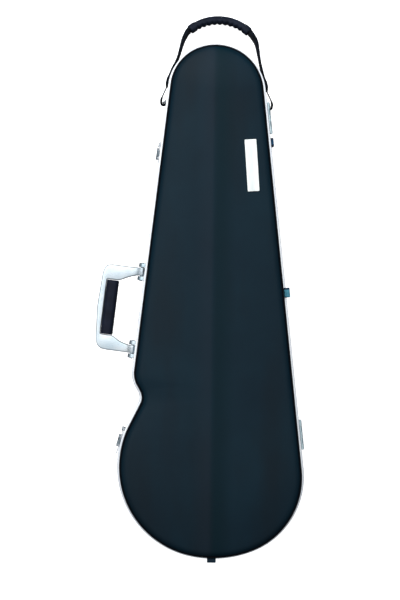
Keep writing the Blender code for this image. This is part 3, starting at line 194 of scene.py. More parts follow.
class Workshop:
    """Modelling by hand: one piece is held at a time and nothing else is selected."""

    @staticmethod
    def let_go() -> None:
        """Deselects everything."""
        bpy.ops.object.select_all(action="DESELECT")

    @staticmethod
    def hold(piece: bpy.types.Object) -> None:
        """Makes a piece the only one that operators act on."""
        Workshop.let_go()
        bpy.context.view_layer.objects.active = piece
        piece.select_set(True)

    @staticmethod
    @contextmanager
    def editing(piece: bpy.types.Object) -> Iterator[bmesh.types.BMesh]:
        """Opens a piece in edit mode.

        Args:
            piece: the piece to shape.

        Yields:
            The mesh under edit.
        """
        Workshop.hold(piece)
        bpy.ops.object.mode_set(mode="EDIT")
        yield bmesh.from_edit_mesh(piece.data)
        bmesh.update_edit_mesh(piece.data)
        bpy.ops.object.mode_set(mode="OBJECT")

    @staticmethod
    def grow(
        name: str, rings: Sequence[Ring], capped: tuple[bool, bool] = (True, True), looped: bool = False
    ) -> bpy.types.Object:
        """Grows a skin from a circle primitive, with one edge extrude for each further ring.

        The piece gets a UV map named run: metres round the first ring and metres along the rings.

        Args:
            name: the piece's name.
            rings: rings of equal length.
            capped: whether the first and the last ring are filled.
            looped: whether the last ring joins the first, as on a hoop.

        Returns:
            The piece, with its faces outwards.
        """
        count = len(rings[0])
        rows = [*rings, rings[0]] if looped else list(rings)
        Workshop.let_go()
        bpy.ops.mesh.primitive_circle_add(vertices=count, radius=1.0)
        piece = bpy.context.active_object
        piece.name = name
        piece.data.name = name
        with Workshop.editing(piece) as mesh:
            for layer in ("place", "level"):
                mesh.verts.layers.int.new(layer)
            place = mesh.verts.layers.int["place"]
            for index, vert in enumerate(mesh.verts):
                vert[place] = index
                vert.co = rows[0][index]
            for number, ring in enumerate(rows[1:], 1):
                bpy.ops.mesh.extrude_region_move(TRANSFORM_OT_translate={"value": (0, 0, 0)})
                mesh = bmesh.from_edit_mesh(piece.data)
                place = mesh.verts.layers.int["place"]
                level = mesh.verts.layers.int["level"]
                for vert in mesh.verts:
                    if vert.select:
                        vert[level] = number
                        vert.co = ring[vert[place]]
            Workshop.lay_run(mesh, rows, looped)
            for wanted, number in zip(capped, (0, len(rows) - 1)):
                if wanted and not looped:
                    Workshop.choose(mesh, lambda vert, level=level, number=number: vert[level] == number)
                    bpy.ops.mesh.edge_face_add()
                    mesh = bmesh.from_edit_mesh(piece.data)
                    level = mesh.verts.layers.int["level"]
            bpy.ops.mesh.select_all(action="SELECT")
            if looped:
                bpy.ops.mesh.remove_doubles(threshold=0.001 * MM)
            bpy.ops.mesh.normals_make_consistent(inside=False)
        return piece

    @staticmethod
    def sweep(
        name: str, path: Sequence[Vector], section: Callable[[float], Plan], sideways: Vector
    ) -> bpy.types.Object:
        """Sweeps a changing section along a path.

        Args:
            name: the piece's name.
            path: the points that it follows.
            section: gives, for a share of the way, points as distance aside and distance across.
            sideways: the direction across, at right angles to the path.

        Returns:
            The piece, closed at both ends.
        """
        lengths = [0.0]
        for a, b in zip(path, path[1:]):
            lengths.append(lengths[-1] + (b - a).length)
        rings = []
        for index, point in enumerate(path):
            run = (path[min(index + 1, len(path) - 1)] - path[max(index - 1, 0)]).normalized()
            aside = sideways.cross(run).normalized()
            share = lengths[index] / lengths[-1]
            rings.append([point + aside * a + sideways * b for a, b in section(share)])
        return Workshop.grow(name, rings)

    @staticmethod
    def lay_run(mesh: bmesh.types.BMesh, rows: Sequence[Ring], looped: bool) -> None:
        """Gives a grown mesh its run map.

        Args:
            mesh: the mesh under edit.
            rows: the rings that it was grown from.
            looped: whether the last row lies on the first.
        """
        round_first, climb = [0.0], [0.0]
        for a, b in zip(rows[0], [*rows[0][1:], rows[0][0]]):
            round_first.append(round_first[-1] + (b - a).length)
        for low, high in zip(rows, rows[1:]):
            climb.append(climb[-1] + sum((b - a).length for a, b in zip(low, high)) / len(low))
        place, level = mesh.verts.layers.int["place"], mesh.verts.layers.int["level"]
        uv = mesh.loops.layers.uv.new("run")
        last = len(rows[0]) - 1
        for face in mesh.faces:
            seam = {loop.vert[place] for loop in face.loops} == {0, last}
            for loop in face.loops:
                at = loop.vert[place]
                across = round_first[last + 1 if seam and at == 0 else at]
                loop[uv].uv = (across, climb[loop.vert[level]])

    @staticmethod
    def choose(mesh: bmesh.types.BMesh, wanted: Callable[[bmesh.types.BMVert], bool]) -> None:
        """Selects the vertices that a test accepts, and what lies between them.

        Args:
            mesh: the mesh under edit.
            wanted: the test.
        """
        for vert in mesh.verts:
            vert.select = bool(wanted(vert))
        for edge in mesh.edges:
            edge.select = all(vert.select for vert in edge.verts)
        for face in mesh.faces:
            face.select = all(vert.select for vert in face.verts)

    @staticmethod
    def modify(piece: bpy.types.Object, kind: str, **settings: object) -> None:
        """Adds a modifier and applies it.

        Args:
            piece: the piece to change.
            kind: the modifier's type.
            settings: its settings by name.
        """
        Workshop.hold(piece)
        bpy.ops.object.modifier_add(type=kind)
        step = piece.modifiers[-1]
        for name, value in settings.items():
            setattr(step, name, value)
        bpy.ops.object.modifier_apply(modifier=step.name)

    @staticmethod
    def round_edges(piece: bpy.types.Object, width: float, segments: int = 2, sharper_than: float = 32.0) -> None:
        """Rounds a piece's sharp edges and evens the shading of what lies between them.

        Args:
            piece: the piece to finish.
            width: the rounding's width.
            segments: its steps.
            sharper_than: the least edge angle in degrees.
        """
        Workshop.modify(
            piece,
            "BEVEL",
            width=width,
            segments=segments,
            limit_method="ANGLE",
            angle_limit=math.radians(sharper_than),
            use_clamp_overlap=True,
        )
        Workshop.smooth(piece, 50.0)
        Workshop.modify(piece, "WEIGHTED_NORMAL", keep_sharp=True)

    @staticmethod
    def smooth(piece: bpy.types.Object, angle: float) -> None:
        """Shades a piece smooth, apart from edges sharper than an angle in degrees."""
        Workshop.hold(piece)
        bpy.ops.object.shade_smooth_by_angle(angle=math.radians(angle))

    @staticmethod
    def copy_of(node: bpy.types.Object, name: str) -> bpy.types.Object:
        """Copies a CAD node with its triangles merged into whole faces.

        Args:
            node: the CAD node.
            name: the copy's name.

        Returns:
            The copy, which rides on nothing yet.
        """
        piece = node.copy()
        piece.data = node.data.copy()
        piece.name = name
        piece.data.name = name
        for key in list(piece.keys()):
            del piece[key]
        bpy.context.scene.collection.objects.link(piece)
        piece.parent = None
        with Workshop.editing(piece):
            bpy.ops.mesh.select_all(action="SELECT")
            bpy.ops.mesh.remove_doubles(threshold=0.005 * MM)
            bpy.ops.mesh.dissolve_limited(angle_limit=math.radians(1.0))
        return piece

    @staticmethod
    def settle(piece: bpy.types.Object) -> None:
        """Puts a piece's place, turn and scale into its mesh."""
        Workshop.hold(piece)
        bpy.ops.object.transform_apply(location=True, rotation=True, scale=True)

    @staticmethod
    def repeat(pattern: bpy.types.Object, places: Sequence[Matrix], name: str) -> bpy.types.Object:
        """Copies a small piece to each place and joins the copies.

        Args:
            pattern: the piece, modelled at the origin with its head along +Z.
            places: where each copy goes.
            name: the joined piece's name.

        Returns:
            The joined piece. The pattern is removed.
        """
        copies = []
        for place in places:
            copied = pattern.copy()
            copied.data = pattern.data.copy()
            copied.data.transform(place)
            bpy.context.scene.collection.objects.link(copied)
            copies.append(copied)
        bpy.data.objects.remove(pattern, do_unlink=True)
        Workshop.hold(copies[0])
        for copied in copies:
            copied.select_set(True)
        if len(copies) > 1:
            bpy.ops.object.join()
        copies[0].name = name
        copies[0].data.name = name
        return copies[0]

    @staticmethod
    def rivet(radius: float, height: float) -> bpy.types.Object:
        """Models one domed rivet head at the origin.

        Args:
            radius: the head's radius.
            height: how far it stands out.

        Returns:
            The rivet.
        """
        Workshop.let_go()
        bpy.ops.mesh.primitive_cylinder_add(vertices=20, radius=radius, depth=height, location=(0, 0, height / 2))
        piece = bpy.context.active_object
        with Workshop.editing(piece) as mesh:
            Workshop.choose(mesh, lambda vert: vert.co.z > height * 0.9 - height / 2)
            bpy.ops.mesh.bevel(offset=height * 0.75, segments=3, profile=0.5, affect="EDGES")
        Workshop.settle(piece)
        Workshop.smooth(piece, 60.0)
        return piece


class Bench:
    """One material's node tree, with short calls that add and join its nodes."""

    def __init__(self, name: str, roughness: float, metallic: float = 0.0) -> None:
        """Starts a material.

        Args:
            name: the material's name.
            roughness: the shader's even roughness.
            metallic: 1 for bare metal.
        """
        self.material = bpy.data.materials.new(name)
        self.material.use_nodes = True
        self.tree = self.material.node_tree
        self.shader = self.tree.nodes["Principled BSDF"]
        self.shader.inputs["Roughness"].default_value = roughness
        self.shader.inputs["Metallic"].default_value = metallic
        self.place = self.add("ShaderNodeTexCoord").outputs["Object"]

    def add(self, kind: str, **inputs: object) -> bpy.types.Node:
        """Adds a node and fills its sockets.

        Args:
            kind: the node's type name.
            inputs: socket names, with _ for a space, and the value or socket that each takes.

        Returns:
            The new node.
        """
        node = self.tree.nodes.new(kind)
        for socket_name, value in inputs.items():
            socket = node.inputs[socket_name.replace("_", " ")]
            if isinstance(value, bpy.types.NodeSocket):
                self.tree.links.new(value, socket)
            else:
                socket.default_value = value
        return node

    def run(self) -> bpy.types.NodeSocket:
        """Metres round and along a grown piece."""
        node = self.add("ShaderNodeUVMap")
        node.uv_map = "run"
        return node.outputs["UV"]

    def noise(
        self,
        per_metre: float,
        detail: float = 2.0,
        stretch: tuple[float, float, float] = (1.0, 1.0, 1.0),
        place: bpy.types.NodeSocket | None = None,
    ) -> bpy.types.NodeSocket:
        """Noise at a real scale.

        Args:
            per_metre: how many features fit in a metre.
            detail: octaves.
            stretch: scale along x, y and z, for brushed or drawn marks.
            place: coordinates other than the object's own.

        Returns:
            The noise's value.
        """
        mapping = self.add("ShaderNodeMapping", Vector=place or self.place, Scale=stretch)
        return self.add(
            "ShaderNodeTexNoise", Vector=mapping.outputs["Vector"], Scale=per_metre, Detail=detail
        ).outputs["Fac"]

    def cells(self, per_metre: float, smoothness: float = 0.4) -> bpy.types.NodeSocket:
        """Rounded cells at a real scale, 0 in their middles.

        Args:
            per_metre: how many cells fit in a metre.
            smoothness: how soft their borders are.

        Returns:
            The distance from the nearest cell's middle.
        """
        node = self.add("ShaderNodeTexVoronoi", Vector=self.place, Scale=per_metre)
        node.feature = "SMOOTH_F1"
        node.inputs["Smoothness"].default_value = smoothness
        return node.outputs["Distance"]

    def ramp(
        self, value: bpy.types.NodeSocket, low: str, high: str, start: float = 0.3, end: float = 0.7
    ) -> bpy.types.NodeSocket:
        """Colour between two sRGB hex colours, following a value.

        Args:
            value: the driving socket.
            low: colour at and below start.
            high: colour at and above end.
            start: lower end of the ramp.
            end: upper end of the ramp.

        Returns:
            The colour.
        """
        node = self.add("ShaderNodeValToRGB", Fac=value)
        node.color_ramp.elements[0].position = start
        node.color_ramp.elements[0].color = linear(low)
        node.color_ramp.elements[1].position = end
        node.color_ramp.elements[1].color = linear(high)
        return node.outputs["Color"]

    def math(self, operation: str, a: object, b: object = 0.0) -> bpy.types.NodeSocket:
        """One step of arithmetic.

        Args:
            operation: the Math node's operation.
            a: first value or socket.
            b: second value or socket.

        Returns:
            The result.
        """
        node = self.add("ShaderNodeMath")
        node.operation = operation
        for socket, value in zip(node.inputs, (a, b)):
            if isinstance(value, bpy.types.NodeSocket):
                self.tree.links.new(value, socket)
            else:
                socket.default_value = value
        return node.outputs["Value"]

    def span(self, value: bpy.types.NodeSocket, low: float, high: float) -> bpy.types.NodeSocket:
        """Maps a 0 to 1 value onto a range.

        Args:
            value: the driving socket.
            low: result at 0.
            high: result at 1.

        Returns:
            The result.
        """
        return self.add("ShaderNodeMapRange", Value=value, To_Min=low, To_Max=high).outputs["Result"]

    def reach(self, value: bpy.types.NodeSocket, start: float, end: float) -> bpy.types.NodeSocket:
        """0 at one real measure and 1 at another, even between.

        Args:
            value: the measured value.
            start: where the result is 0.
            end: where the result is 1.

        Returns:
            The share.
        """
        node = self.add("ShaderNodeMapRange", Value=value)
        node.inputs["From Min"].default_value = start
        node.inputs["From Max"].default_value = end
        return node.outputs["Result"]

    def blend(self, share: bpy.types.NodeSocket, first: object, second: object) -> bpy.types.NodeSocket:
        """Mixes two colours.

        Args:
            share: 0 for the first colour, 1 for the second.
            first: a colour or a colour socket.
            second: a colour or a colour socket.

        Returns:
            The mixed colour.
        """
        node = self.add("ShaderNodeMix")
        node.data_type = "RGBA"
        self.tree.links.new(share, node.inputs[0])
        for socket, colour in ((node.inputs[6], first), (node.inputs[7], second)):
            if isinstance(colour, bpy.types.NodeSocket):
                self.tree.links.new(colour, socket)
            else:
                socket.default_value = colour
        return node.outputs[2]

    def colour(self, socket: bpy.types.NodeSocket) -> None:
        """Joins a colour to the shader."""
        self.tree.links.new(socket, self.shader.inputs["Base Color"])

    def rough(self, socket: bpy.types.NodeSocket) -> None:
        """Joins a roughness to the shader."""
        self.tree.links.new(socket, self.shader.inputs["Roughness"])

    def bump(self, height: bpy.types.NodeSocket, depth: float, strength: float = 1.0) -> None:
        """Joins a bump of a real depth to the shader.

        Args:
            height: 0 to 1 height.
            depth: real depth in metres.
            strength: share of the bump that shows.
        """
        node = self.add("ShaderNodeBump", Height=height, Distance=depth, Strength=strength)
        self.tree.links.new(node.outputs["Normal"], self.shader.inputs["Normal"])

    def even(self, **sockets: float) -> None:
        """Sets shader numbers that are the same all over.

        Args:
            sockets: socket names, with _ for a space, and their values.
        """
        for name, value in sockets.items():
            self.shader.inputs[name.replace("_", " ")].default_value = value


@dataclass(frozen=True)
class CaseOutline:
    """The shell's plan: circles joined by straight tangents, counterclockwise, in the case's own place."""

    shift: Vector
    right_shoulder: tuple[float, float, float] = (7.0 * MM, 280.0 * MM, 65.0 * MM)
    left_shoulder: tuple[float, float, float] = (4.4 * MM, 286.0 * MM, 58.5 * MM)
    waist_bend: tuple[float, float, float] = (-71.0 * MM, -98.0 * MM, 32.0 * MM)
    notch: tuple[float, float, float] = (-112.5 * MM, -130.5 * MM, -20.0 * MM)
    left_flare: tuple[float, float, float] = (-1.5 * MM, -224.0 * MM, 121.5 * MM)
    right_flare: tuple[float, float, float] = (18.0 * MM, -238.0 * MM, 105.5 * MM)
    tail_radius: float = 146.0 * MM
    split: float = 100.0 * MM
    spine_top: tuple[float, float] = (6.5 * MM, 282.0 * MM)
    spine_bottom: tuple[float, float] = (1.0 * MM, -232.0 * MM)
    arc_step: float = math.radians(2.5)
    straight_step: float = 16.0 * MM

    def tail_circle(self) -> tuple[float, float, float]:
        """Circle of the wide end's arc, which holds both flare circles and touches each from inside."""
        first, second, radius = self.left_flare, self.right_flare, self.tail_radius
        across = Vector(second[:2]) - Vector(first[:2])
        span = across.length
        along = ((radius - first[2]) ** 2 - (radius - second[2]) ** 2 + span**2) / (2 * span)
        aside = math.sqrt((radius - first[2]) ** 2 - along**2)
        unit = across / span
        centre = Vector(first[:2]) + unit * along + Vector((-unit.y, unit.x)) * aside
        return (centre.x, centre.y, radius)

    def points(self, offset: float = 0.0, arc_step: float = 0.0) -> list[tuple[Vector, Vector]]:
        """Points and outward normals round the shell, in the case's own coordinates.

        Args:
            offset: how far out from the shell's wall.
            arc_step: angle between points on an arc, if not the usual one.

        Returns:
            Point and normal pairs.
        """
        circles = [self.right_shoulder, self.left_shoulder, self.waist_bend, self.notch, self.left_flare]
        circles += [self.tail_circle(), self.right_flare]
        normals = []
        for here, there in zip(circles, circles[1:] + circles[:1]):
            across = Vector(there[:2]) - Vector(here[:2])
            unit = across.normalized()
            lean = max(-1.0, min(1.0, (here[2] - there[2]) / across.length))
            normals.append(Vector((unit.y, -unit.x)) * math.sqrt(1.0 - lean * lean) + unit * lean)
        found: list[tuple[Vector, Vector]] = []
        for index, (x, y, radius) in enumerate(circles):
            arrive, leave = normals[index - 1], normals[index]
            start = math.atan2(arrive.y, arrive.x)
            sweep = (math.atan2(leave.y, leave.x) - start + math.pi) % (2 * math.pi) - math.pi
            steps = max(1, round(abs(sweep) / (arc_step or self.arc_step)))
            for step in range(steps + 1):
                angle = start + sweep * step / steps
                normal = Vector((math.cos(angle), math.sin(angle)))
                found.append((Vector((x, y)) + normal * (radius + offset), normal))
            following = circles[(index + 1) % len(circles)]
            end = Vector(following[:2]) + leave * (following[2] + offset)
            run = (Vector(following[:2]) - Vector((x, y)) + leave * (following[2] - radius)).length
            pieces = max(1, round(run / self.straight_step))
            start_point = found[-1][0]
            for piece in range(1, pieces):
                found.append((start_point.lerp(end, piece / pieces), leave.copy()))
            if run < 0.3 * MM:
                found.pop()
        return found

    def ring(self, offset: float, height: float) -> Ring:
        """The outline moved out by an offset, at a height above the floor."""
        return [self.placed(point, height) for point, _ in self.points(offset)]

    def placed(self, point: Vector, height: float) -> Vector:
        """A plan point of the case, put where the case stands."""
        return Vector((point.x + self.shift.x, point.y + self.shift.y, height))

    def spine_point(self, point: Vector) -> Vector:
        """The nearest point of the lid's long middle line, in plan."""
        y = max(self.spine_bottom[1], min(self.spine_top[1], point.y))
        along = (y - self.spine_bottom[1]) / (self.spine_top[1] - self.spine_bottom[1])
        x = self.spine_bottom[0] + (self.spine_top[0] - self.spine_bottom[0]) * along
        return Vector((x, y))

    def crease(self) -> tuple[float, float]:
        """The middle line as x at the world's y = 0, and x gained per unit of y."""
        lean = (self.spine_top[0] - self.spine_bottom[0]) / (self.spine_top[1] - self.spine_bottom[1])
        return self.spine_bottom[0] + self.shift.x - lean * (self.spine_bottom[1] + self.shift.y), lean

    def spine_station(self, point: Vector, spacing: float) -> Vector:
        """The nearest of the evenly spaced stations on the lid's middle line.

        Args:
            point: a plan point.
            spacing: roughly how far apart the stations lie, more than the outline's own points do.

        Returns:
            The station, where the skin's left and right halves meet.
        """
        top, bottom = Vector(self.spine_top), Vector(self.spine_bottom)
        count = round((top - bottom).length / spacing)
        share = (self.spine_point(point).y - bottom.y) / (top.y - bottom.y)
        return bottom.lerp(top, round(share * count) / count)

    def wall(self, y: float, left: bool) -> Matrix:
        """Frame on the wall: X out of it, Y along it counterclockwise, Z up from the split.

        Args:
            y: the case's own y.
            left: whether it is the wall with the handle.

        Returns:
            The frame.
        """
        ring = self.points(0.0, math.radians(11.0 / 16))
        for (p, n), (q, m) in zip(ring, ring[1:] + ring[:1]):
            if (p.y - y) * (q.y - y) > 0 or p.y == q.y or (n.x < 0) != left:
                continue
            share = (y - p.y) / (q.y - p.y)
            point, out = p.lerp(q, share), n.lerp(m, share).normalized()
        return self.outward(point, out)

    def outward(self, point: Vector, out: Vector) -> Matrix:
        """Frame at a plan point that looks along an outward direction."""
        place = self.placed(point, self.split)
        return Matrix((
            (out.x, -out.y, 0.0, place.x),
            (out.y, out.x, 0.0, place.y),
            (0.0, 0.0, 1.0, place.z),
            (0.0, 0.0, 0.0, 1.0),
        ))


@dataclass(frozen=True)
class SatinShell:
    """Pressed shell with a satin coat: dark blue-green grey, a fine orange-peel skin and a low, soft sheen, with a
    painted highlight and painted shade beside the crease and a painted dark line where it meets the rim.
    """

    dark: str = "071923"
    light: str = "0a1f29"
    warm: str = "0b151c"
    # painted highlight and painted shade colours for the two flanks of the crease
    painted_crest_light: str = "18212b"
    painted_crest_shade: str = "00171f"
    # painted shade at the foot of the shoulder, and the heights where it is full and where it has faded
    joint: str = "010308"
    rim_shade_from: float = 152.6 * MM
    rim_shade_to: float = 154.4 * MM
    crease_x: float = 0.0
    crease_lean: float = 0.0
    peel_per_metre: float = 700.0
    peel_depth: float = 0.03 * MM

    def build(self) -> bpy.types.Material:
        """Makes the material."""
        bench = Bench("satin_coated_shell", 0.36)
        cloud = bench.noise(11.0, 4.0)
        fleck = bench.noise(2600.0, 1.0)
        tone = bench.math("ADD", bench.math("MULTIPLY", cloud, 0.7), bench.math("MULTIPLY", fleck, 0.3))
        coat = bench.ramp(tone, self.dark, self.light, 0.35, 0.65)
        # the coat's hue drifts a little in long patches
        drift = bench.noise(9.0, 3.0, (2.0, 0.6, 1.0))
        coat = bench.blend(bench.math("MULTIPLY", bench.reach(drift, 0.42, 0.7), 0.7), coat, linear(self.warm))
        axes = bench.add("ShaderNodeSeparateXYZ", Vector=bench.place).outputs
        above = bench.reach(axes["Z"], 140.0 * MM, 141.0 * MM)
        # painted highlight and painted shade: the crease down the middle is painted paler on its handle side and darker
        # on the other, as if lit from the handle side
        line = bench.math("ADD", bench.math("MULTIPLY", axes["Y"], self.crease_lean), self.crease_x)
        aside = bench.math("SUBTRACT", axes["X"], line)
        for tone, amount, outer, inner, edge, far in (
            (self.painted_crest_light, 0.3, -26.0, -8.0, 1.5, -4.0),
            (self.painted_crest_shade, 0.8, 30.0, 11.0, -2.0, 5.0),
        ):
            band = bench.math("MULTIPLY", bench.reach(aside, outer * MM, inner * MM), bench.reach(aside, edge * MM, far * MM))
            share = bench.math("MULTIPLY", bench.math("MULTIPLY", band, above), amount)
            coat = bench.blend(share, coat, linear(tone))
        # painted shade: the shell is painted near black in a narrow band just above where it turns down into the rim
        joint = bench.reach(axes["Z"], self.rim_shade_to, self.rim_shade_from)
        flank = bench.reach(axes["Z"], 140.0 * MM, 147.5 * MM)
        bench.colour(bench.blend(bench.math("MULTIPLY", joint, flank), coat, linear(self.joint)))
        # rubbed a little smoother in broad patches, as a coat that is wiped clean gets
        bench.rough(bench.span(bench.noise(24.0, 4.0), 0.3, 0.42))
        bench.bump(bench.noise(self.peel_per_metre, 3.0), self.peel_depth, 0.5)
        bench.even(Specular_IOR_Level=0.125)
        return bench.material


@dataclass(frozen=True)
class DrawnAluminium:
    """Extruded and anodised aluminium: a pale satin with hair-fine lines along the extrusion."""

    dark: str = "eef0f6"
    light: str = "ffffff"

    def build(self) -> bpy.types.Material:
        """Makes the material."""
        bench = Bench("drawn_satin_aluminium", 0.26, 0.9)
        lines = bench.noise(2400.0, 3.0, (0.01, 1.0, 1.0), bench.run())
        bench.colour(bench.ramp(bench.noise(30.0, 3.0), self.dark, self.light))
        bench.rough(bench.span(lines, 0.2, 0.34))
        bench.bump(lines, 0.02 * MM, 0.3)
        return bench.material


@dataclass(frozen=True)
class CastAluminium:
    """Cast and tumbled aluminium: bright, blue-white, with a faint pebble and soft cloudy gloss."""

    name: str
    dark: str
    light: str
    low: float
    high: float
    pebble_per_metre: float = 1100.0

    def build(self) -> bpy.types.Material:
        """Makes the material."""
        bench = Bench(self.name, self.low, 0.92)
        pebble = bench.noise(self.pebble_per_metre, 3.0)
        bench.colour(bench.ramp(bench.noise(45.0, 4.0), self.dark, self.light))
        bench.rough(bench.span(bench.noise(160.0, 4.0), self.low, self.high))
        bench.bump(pebble, 0.025 * MM, 0.35)
        return bench.material


@dataclass(frozen=True)
class BrushedPlate:
    """Thin plate brushed along its length and lacquered nearly white."""

    def build(self) -> bpy.types.Material:
        """Makes the material."""
        bench = Bench("brushed_white_plate", 0.45, 0.25)
        strokes = bench.noise(3200.0, 3.0, (1.0, 0.02, 1.0))
        bench.colour(bench.ramp(strokes, "dfe5e2", "f4f7f4", 0.25, 0.6))
        bench.rough(bench.span(strokes, 0.36, 0.56))
        bench.bump(strokes, 0.01 * MM, 0.4)
        return bench.material


@dataclass(frozen=True)
class GrainedHide:
    """Tanned hide over padding: pebble grain, fine creases, duller in its valleys."""

    def build(self) -> bpy.types.Material:
        """Makes the material."""
        bench = Bench("black_grained_leather", 0.5)
        pebble = bench.cells(820.0, 0.5)
        crease = bench.noise(240.0, 5.0, (1.0, 0.35, 1.0))
        height = bench.math("SUBTRACT", bench.math("MULTIPLY", crease, 0.6), pebble)
        bench.colour(bench.ramp(bench.noise(70.0, 4.0), "060a17", "0f1626"))
        bench.rough(bench.span(pebble, 0.42, 0.66))
        bench.bump(height, 0.12 * MM, 0.6)
        bench.even(Specular_IOR_Level=0.2, Sheen_Weight=0.03)
        return bench.material


@dataclass(frozen=True)
class MouldedRubber:
    """Moulded rubber or soft plastic: matte, finely pitted, paler where handling has dulled it.

    A bumper's two ends are painted darker: painted shade on its rounded ends.
    """

    name: str
    dark: str
    light: str
    roughness: float
    pits_per_metre: float = 1700.0
    gloss: float = 0.3
    # painted shade colour for a bumper's ends
    end_shade: str = "1a2f47"
    # y where each painted dark end, painted shade, starts to fade and where it is full
    shaded_ends: tuple[tuple[float, float], ...] = ()

    def build(self) -> bpy.types.Material:
        """Makes the material."""
        bench = Bench(self.name, self.roughness)
        pits = bench.cells(self.pits_per_metre, 0.3)
        rubber_colour = bench.ramp(bench.noise(90.0, 5.0), self.dark, self.light)
        across = bench.add("ShaderNodeSeparateXYZ", Vector=bench.place).outputs["Y"]
        # painted shade: both ends of a bumper are blended to a darker colour
        for start, full in self.shaded_ends:
            rubber_colour = bench.blend(bench.reach(across, start, full), rubber_colour, linear(self.end_shade))
        bench.colour(rubber_colour)
        bench.rough(bench.span(bench.noise(260.0, 3.0), self.roughness - 0.08, self.roughness + 0.08))
        bench.bump(pits, 0.04 * MM, 0.5)
        bench.even(Specular_IOR_Level=self.gloss)
        return bench.material


@dataclass(frozen=True)
class WovenWebbing:
    """Nylon webbing in a plain weave, drawn at 1.6 mm a thread so that it still reads from a metre away."""

    threads_per_metre: float = 620.0

    def build(self) -> bpy.types.Material:
        """Makes the material."""
        bench = Bench("woven_black_webbing", 0.75)
        pitch = self.threads_per_metre / 20
        rows = bench.add("ShaderNodeTexWave", Vector=bench.place, Scale=pitch, Distortion=0.6, Detail=1.0)
        rows.bands_direction = "DIAGONAL"
        turned = bench.add("ShaderNodeMapping", Vector=bench.place, Scale=(1.0, -1.0, 1.0))
        columns = bench.add("ShaderNodeTexWave", Vector=turned.outputs["Vector"], Scale=pitch, Distortion=0.6)
        columns.bands_direction = "DIAGONAL"
        weave = bench.math("MAXIMUM", rows.outputs["Fac"], columns.outputs["Fac"])
        fuzz = bench.noise(2600.0, 3.0)
        bench.colour(bench.ramp(bench.math("MULTIPLY", weave, fuzz), "030509", "0c111a", 0.1, 0.7))
        bench.bump(bench.math("ADD", weave, bench.math("MULTIPLY", fuzz, 0.4)), 0.18 * MM, 0.8)
        bench.even(Sheen_Weight=0.03, Sheen_Roughness=0.5, Specular_IOR_Level=0.12)
        return bench.material


@dataclass(frozen=True)
class PlushPile:
    """Short plush glued over foam: dense pile tips, brushed lighter and darker in hand-sized patches."""

    name: str = "short_grey_plush"
    dark: str = "17191d"
    light: str = "555b65"
    tufts_per_metre: float = 420.0
    pile_depth: float = 0.9 * MM

    def build(self) -> bpy.types.Material:
        """Makes the material."""
        bench = Bench(self.name, 0.95)
        pile = bench.noise(1500.0, 4.0)
        tuft = bench.noise(self.tufts_per_metre, 4.0)
        brushed = bench.noise(13.0, 4.0, (1.0, 0.45, 1.0))
        grain = bench.math("ADD", bench.math("MULTIPLY", pile, 0.5), bench.math("MULTIPLY", tuft, 0.5))
        tone = bench.math("ADD", bench.math("MULTIPLY", grain, 0.5), bench.math("MULTIPLY", brushed, 0.5))
        bench.colour(bench.ramp(tone, self.dark, self.light, 0.34, 0.64))
        bench.bump(grain, self.pile_depth, 0.8)
        bench.even(Sheen_Weight=0.5, Sheen_Roughness=0.4, Specular_IOR_Level=0.08)
        return bench.material


@dataclass
class Finishes:
    """Every finish, built once and found by its slot."""

    outline: CaseOutline
    made: dict[Slot, bpy.types.Material] = field(default_factory=dict)

    def build(self) -> None:
        """Builds all finishes."""
        x, lean = self.outline.crease()
        self.made = {
            Slot.SHELL: SatinShell(crease_x=x, crease_lean=lean).build(),
            Slot.ALUMINIUM: DrawnAluminium().build(),
            Slot.PLATE: BrushedPlate().build(),
            Slot.STEEL: CastAluminium("nickel_plated_steel", "a9b3ba", "c9d1d6", 0.2, 0.34, 2200.0).build(),
            Slot.DARK_STEEL: CastAluminium("blackened_spring_steel", "08080c", "101118", 0.35, 0.5).build(),
            Slot.LEATHER: GrainedHide().build(),
            Slot.RUBBER: MouldedRubber("black_foot_rubber", "131518", "1d2024", 0.75).build(),
            Slot.BLUE_RUBBER: MouldedRubber("dark_blue_bumper_rubber", "1c3a4d", "2c5066", 0.62).build(),
            Slot.PLASTIC: MouldedRubber("soft_touch_grip", "0b0f18", "141a27", 0.58, 2000.0, 0.17).build(),
            Slot.WEBBING: WovenWebbing().build(),
            Slot.PLUSH: PlushPile().build(),
        }


